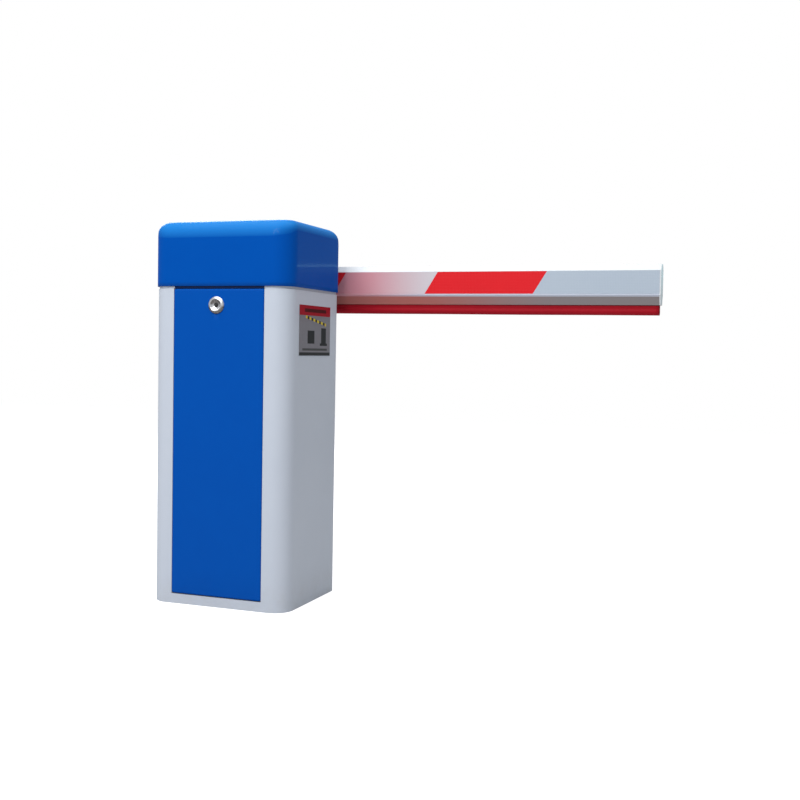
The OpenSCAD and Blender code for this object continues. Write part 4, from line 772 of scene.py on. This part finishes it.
def plateExtra(tree, place, color, s=plateBar):
    # a red band over a grey field with plain blocks and a slanted striped bar: no letters or figures
    parts = addNode(tree, "SeparateXYZ", {0: place}).outputs
    width, height = float(plateHigh[1] - plateLow[1]), float(plateHigh[2] - plateLow[2])
    across = calc(tree, "DIVIDE", calc(tree, "SUBTRACT", parts[1], float(plateLow[1])), width)
    up = calc(tree, "DIVIDE", calc(tree, "SUBTRACT", parts[2], float(plateLow[2])), height)
    for left, right, low, high, tone in platePrint:
        inside = useGroup(tree, "patch", {"Across": across, "Up": up, "Left": left, "Right": right,
                                          "Low": low, "High": high})["Mask"]
        color = mixColor(tree, inside, color, tone)
    slanted = calc(tree, "ADD", up, calc(tree, "MULTIPLY", calc(tree, "SUBTRACT", across, s["right"]),
                                         s["slant"]))
    bar = useGroup(tree, "patch", {"Across": across, "Up": slanted, "Left": s["left"], "Right": s["right"],
                                   "Low": s["low"], "High": s["high"]})["Mask"]
    band = calc(tree, "GREATER_THAN", calc(tree, "FRACT", calc(tree, "MULTIPLY", across, s["stripes"])), 0.5)
    return mixColor(tree, bar, color, mixColor(tree, band, (0.02, 0.02, 0.02, 1), (0.55, 0.42, 0.03, 1)))


doorLow, doorHigh = span("door_panel")
ledgeShade = {"margin": 0.001, "depth": 0.03, "color": (0.0004, 0.012, 0.07, 1)}


def ledgeExtra(tree, place, color, s=ledgeShade):
    # the stretch of ledge over the door is painted dark, so it reads as the shadow under the hood
    parts = addNode(tree, "SeparateXYZ", {0: place}).outputs
    overDoor = calc(tree, "LESS_THAN", calc(tree, "ABSOLUTE", parts[0]), float(doorHigh[0]) + s["margin"])
    front = calc(tree, "LESS_THAN", parts[1], float(doorLow[1]) + s["depth"])
    return mixColor(tree, calc(tree, "MULTIPLY", overDoor, front), color, s["color"])


# painted highlight on the hood's upward faces
hoodTopHighlight = {"begin": 0.03, "power": 0.45, "share": 0.62, "color": (0.02, 0.235, 0.57, 1)}


def paintedTopHighlight(tree, place, color, s=hoodTopHighlight):
    # painted highlight: lighter the more a face looks up, starting sharply where the roll begins
    up = facingUp(tree)
    above = calc(tree, "MAXIMUM", calc(tree, "SUBTRACT", up, s["begin"]), 0.0)
    share = calc(tree, "MULTIPLY", calc(tree, "POWER", above, s["power"]), s["share"], clamp=True)
    return mixColor(tree, share, color, s["color"])


# painted shade on the lock's downward faces
undersideShade = {"full": -0.22, "unshaded": 0.06, "least": 0.6, "patches": 0.5, "color": (0.085, 0.07, 0.06, 1)}


def shadedUnderside(tree, place, color, s=undersideShade):
    # painted shade: darker on whatever looks down
    up = facingUp(tree)
    down = calc(tree, "SUBTRACT", 1.0, softStep(tree, up, s["full"], s["unshaded"]))
    patchy = noiseOf(tree, place, 300.0, 3.0)
    cover = calc(tree, "ADD", s["least"], calc(tree, "MULTIPLY", patchy, s["patches"]))
    return mixColor(tree, calc(tree, "MULTIPLY", down, cover, clamp=True), color, s["color"])


# which finish each piece wears
extras = {"silverSheet": silverExtra, "redSheet": redExtra, "boomWhite": boomExtra,
          "printedPlate": plateExtra, "ledgePaint": ledgeExtra, "hoodBlue": paintedTopHighlight,
          "lockChrome": shadedUnderside}
materials = {name: surfaceOf(name, extras.get(name)) for name in finishes}
wears = {
    "cabinetGrey": ["cabinet_shell", "door_frame"],
    "primerGrey": ["base_plate"],
    "ledgePaint": ["hood_ledge"],
    "zincPlate": ["anchor_pads", "chassis_rails", "chassis_floor", "tie_rods", "chassis_bolts",
                  "stop_posts", "spring_anchor", "spring_adjusters", "gear_tray", "sensor_flag",
                  "clamp_bolts", "connecting_rod", "spring_hanger", "hood_brackets", "door_brackets"],
    "plateSteel": ["chassis_front_plate", "chassis_rear_plate"],
    "groundSteel": ["main_shaft", "boom_hub", "output_shaft", "rotor_shaft"],
    "plugMetal": ["lock_plug"],
    "castAlloy": ["gearbox_housing", "gearbox_cover"],
    "clampWhite": ["clamp_inner", "clamp_outer", "boom_end_caps"],
    "boomWhite": ["boom_extrusion"],
    "armOrange": ["drive_arm", "spring_lever", "crank_arm"],
    "motorBlue": ["motor_body"],
    "bearingIron": ["shaft_bearings"],
    "wheelBronze": ["worm_wheel"],
    "sensorBrass": ["position_sensors"],
    "blackRubber": ["cable_grommet", "door_gasket", "stop_bumpers", "shaft_seal"],
    "boxGrey": ["control_box", "control_lid"],
    "boxLight": ["terminal_rail", "breaker_body", "capacitor"],
    "boxBlack": ["motor_cowl", "breaker_toggle"],
    "boardGreen": ["circuit_board"],
    "silverSheet": ["film_silver"],
    "redSheet": ["film_red"],
    "printedPlate": ["info_plate"],
}
for finish, names in wears.items():
    for name in names:
        paintPiece(nodes[name], materials[finish])
for piece, finish in ((hoodPiece, "hoodBlue"), (doorPiece, "doorBlue"), (lockPiece, "lockChrome"),
                      (nutPiece, "zincPlate"), (springPiece, "springBlack"), (knobPiece, "knobOrange"),
                      (rubberPiece, "edgeRubber")):
    paintPiece(piece, materials[finish])
print("stage: finishes")

# floor, light and camera
floorShape = {"size": 14.0, "drop": 0.0004, "glow": 0.72}
half, floorZ = floorShape["size"] / 2, -floorShape["drop"]
floorPiece = meshPiece("floor", [(-half, -half, floorZ), (half, -half, floorZ), (half, half, floorZ),
                                 (-half, half, floorZ)], [(0, 1, 2, 3)], smooth=False)
floorPaint = bpy.data.materials.new("floorPaint")
floorPaint.use_nodes = True
floorTree = floorPaint.node_tree
floorTree.nodes.clear()
# a pale floor that glows for the camera only, so it stays white without lighting the cabinet
floorGlow = calc(floorTree, "MULTIPLY", addNode(floorTree, "LightPath").outputs["Is Camera Ray"],
                 floorShape["glow"])
floorShader = addNode(floorTree, "BsdfPrincipled", {"Base Color": (0.55, 0.55, 0.55, 1), "Roughness": 0.9,
                                                    "Specular IOR Level": 0.1, "Emission Color": (1, 1, 1, 1),
                                                    "Emission Strength": floorGlow})
addNode(floorTree, "OutputMaterial", {"Surface": floorShader.outputs[0]})
paintPiece(floorPiece, floorPaint)

lamps = [  # name, place, aimed at, size across and up, power, colour
    ("overhead", (0.2, -0.2, 3.4), (0.2, 0.0, 0.5), 3.6, 3.0, 80.0, (1.0, 1.0, 1.0)),
    ("frontSoft", (-0.4, -3.6, 3.4), (0.1, 0.0, 0.5), 2.4, 2.0, 150.0, (1.0, 1.0, 1.0)),
    ("horizonStrip", (1.9, 3.9, 1.14), (0.19, 0.0, 0.87), 2.4, 0.07, 3.4, (0.45, 0.9, 1.0)),
    ("rearSoft", (-2.6, 3.4, 2.6), (0.1, 0.0, 0.5), 2.4, 2.0, 90.0, (1.0, 1.0, 1.0))]
for name, place, aim, across, up, power, tint in lamps:
    data = bpy.data.lights.new(name, "AREA")
    data.shape, data.size, data.size_y, data.energy, data.color = "RECTANGLE", across, up, power, tint
    lamp = bpy.data.objects.new(name, data)
    lamp.location = place
    lamp.rotation_euler = (Vector(aim) - Vector(place)).to_track_quat("-Z", "Y").to_euler()
    scene.collection.objects.link(lamp)

skyShape = {"seen": 1.0, "unseen": 0.5, "tint": (0.95, 0.97, 1.0, 1)}
world = bpy.data.worlds.new("studio")
scene.world = world
world.use_nodes = True
sky = world.node_tree
sky.nodes.clear()
seen = addNode(sky, "Background", {"Color": (1, 1, 1, 1), "Strength": skyShape["seen"]}).outputs[0]
unseen = addNode(sky, "Background", {"Color": skyShape["tint"], "Strength": skyShape["unseen"]}).outputs[0]
ray = addNode(sky, "LightPath").outputs["Is Camera Ray"]
blended = addNode(sky, "MixShader", {0: ray, 1: unseen, 2: seen}).outputs[0]
addNode(sky, "OutputWorld", {"Surface": blended})

# place in metres, angles in degrees, lens and sensor in millimetres
view = {"place": (1.32206, -2.51874, 0.63966), "left": 19.801, "down": 2.605, "roll": 1.0397, "lens": 49.31,
        "sensor": 36.0, "near": 0.05, "far": 60.0}
yaw, pitch, roll = (math.radians(view[k]) for k in ("left", "down", "roll"))
ahead = Vector((-math.sin(yaw) * math.cos(pitch), math.cos(yaw) * math.cos(pitch), -math.sin(pitch)))
right = Vector((math.cos(yaw), math.sin(yaw), 0))
above = right.cross(ahead)
turnedRight = math.cos(roll) * right + math.sin(roll) * above
turnedUp = -math.sin(roll) * right + math.cos(roll) * above
camera = bpy.data.cameras.new("camera")
camera.lens, camera.sensor_width = view["lens"], view["sensor"]
camera.clip_start, camera.clip_end = view["near"], view["far"]
cameraPiece = bpy.data.objects.new("camera", camera)
pose = Matrix((turnedRight, turnedUp, -ahead)).transposed().to_4x4()
pose.translation = Vector(view["place"])
cameraPiece.matrix_world = pose
scene.collection.objects.link(cameraPiece)
scene.camera = cameraPiece
scene.view_settings.view_transform = "Standard"
print("stage: floor, light and camera")
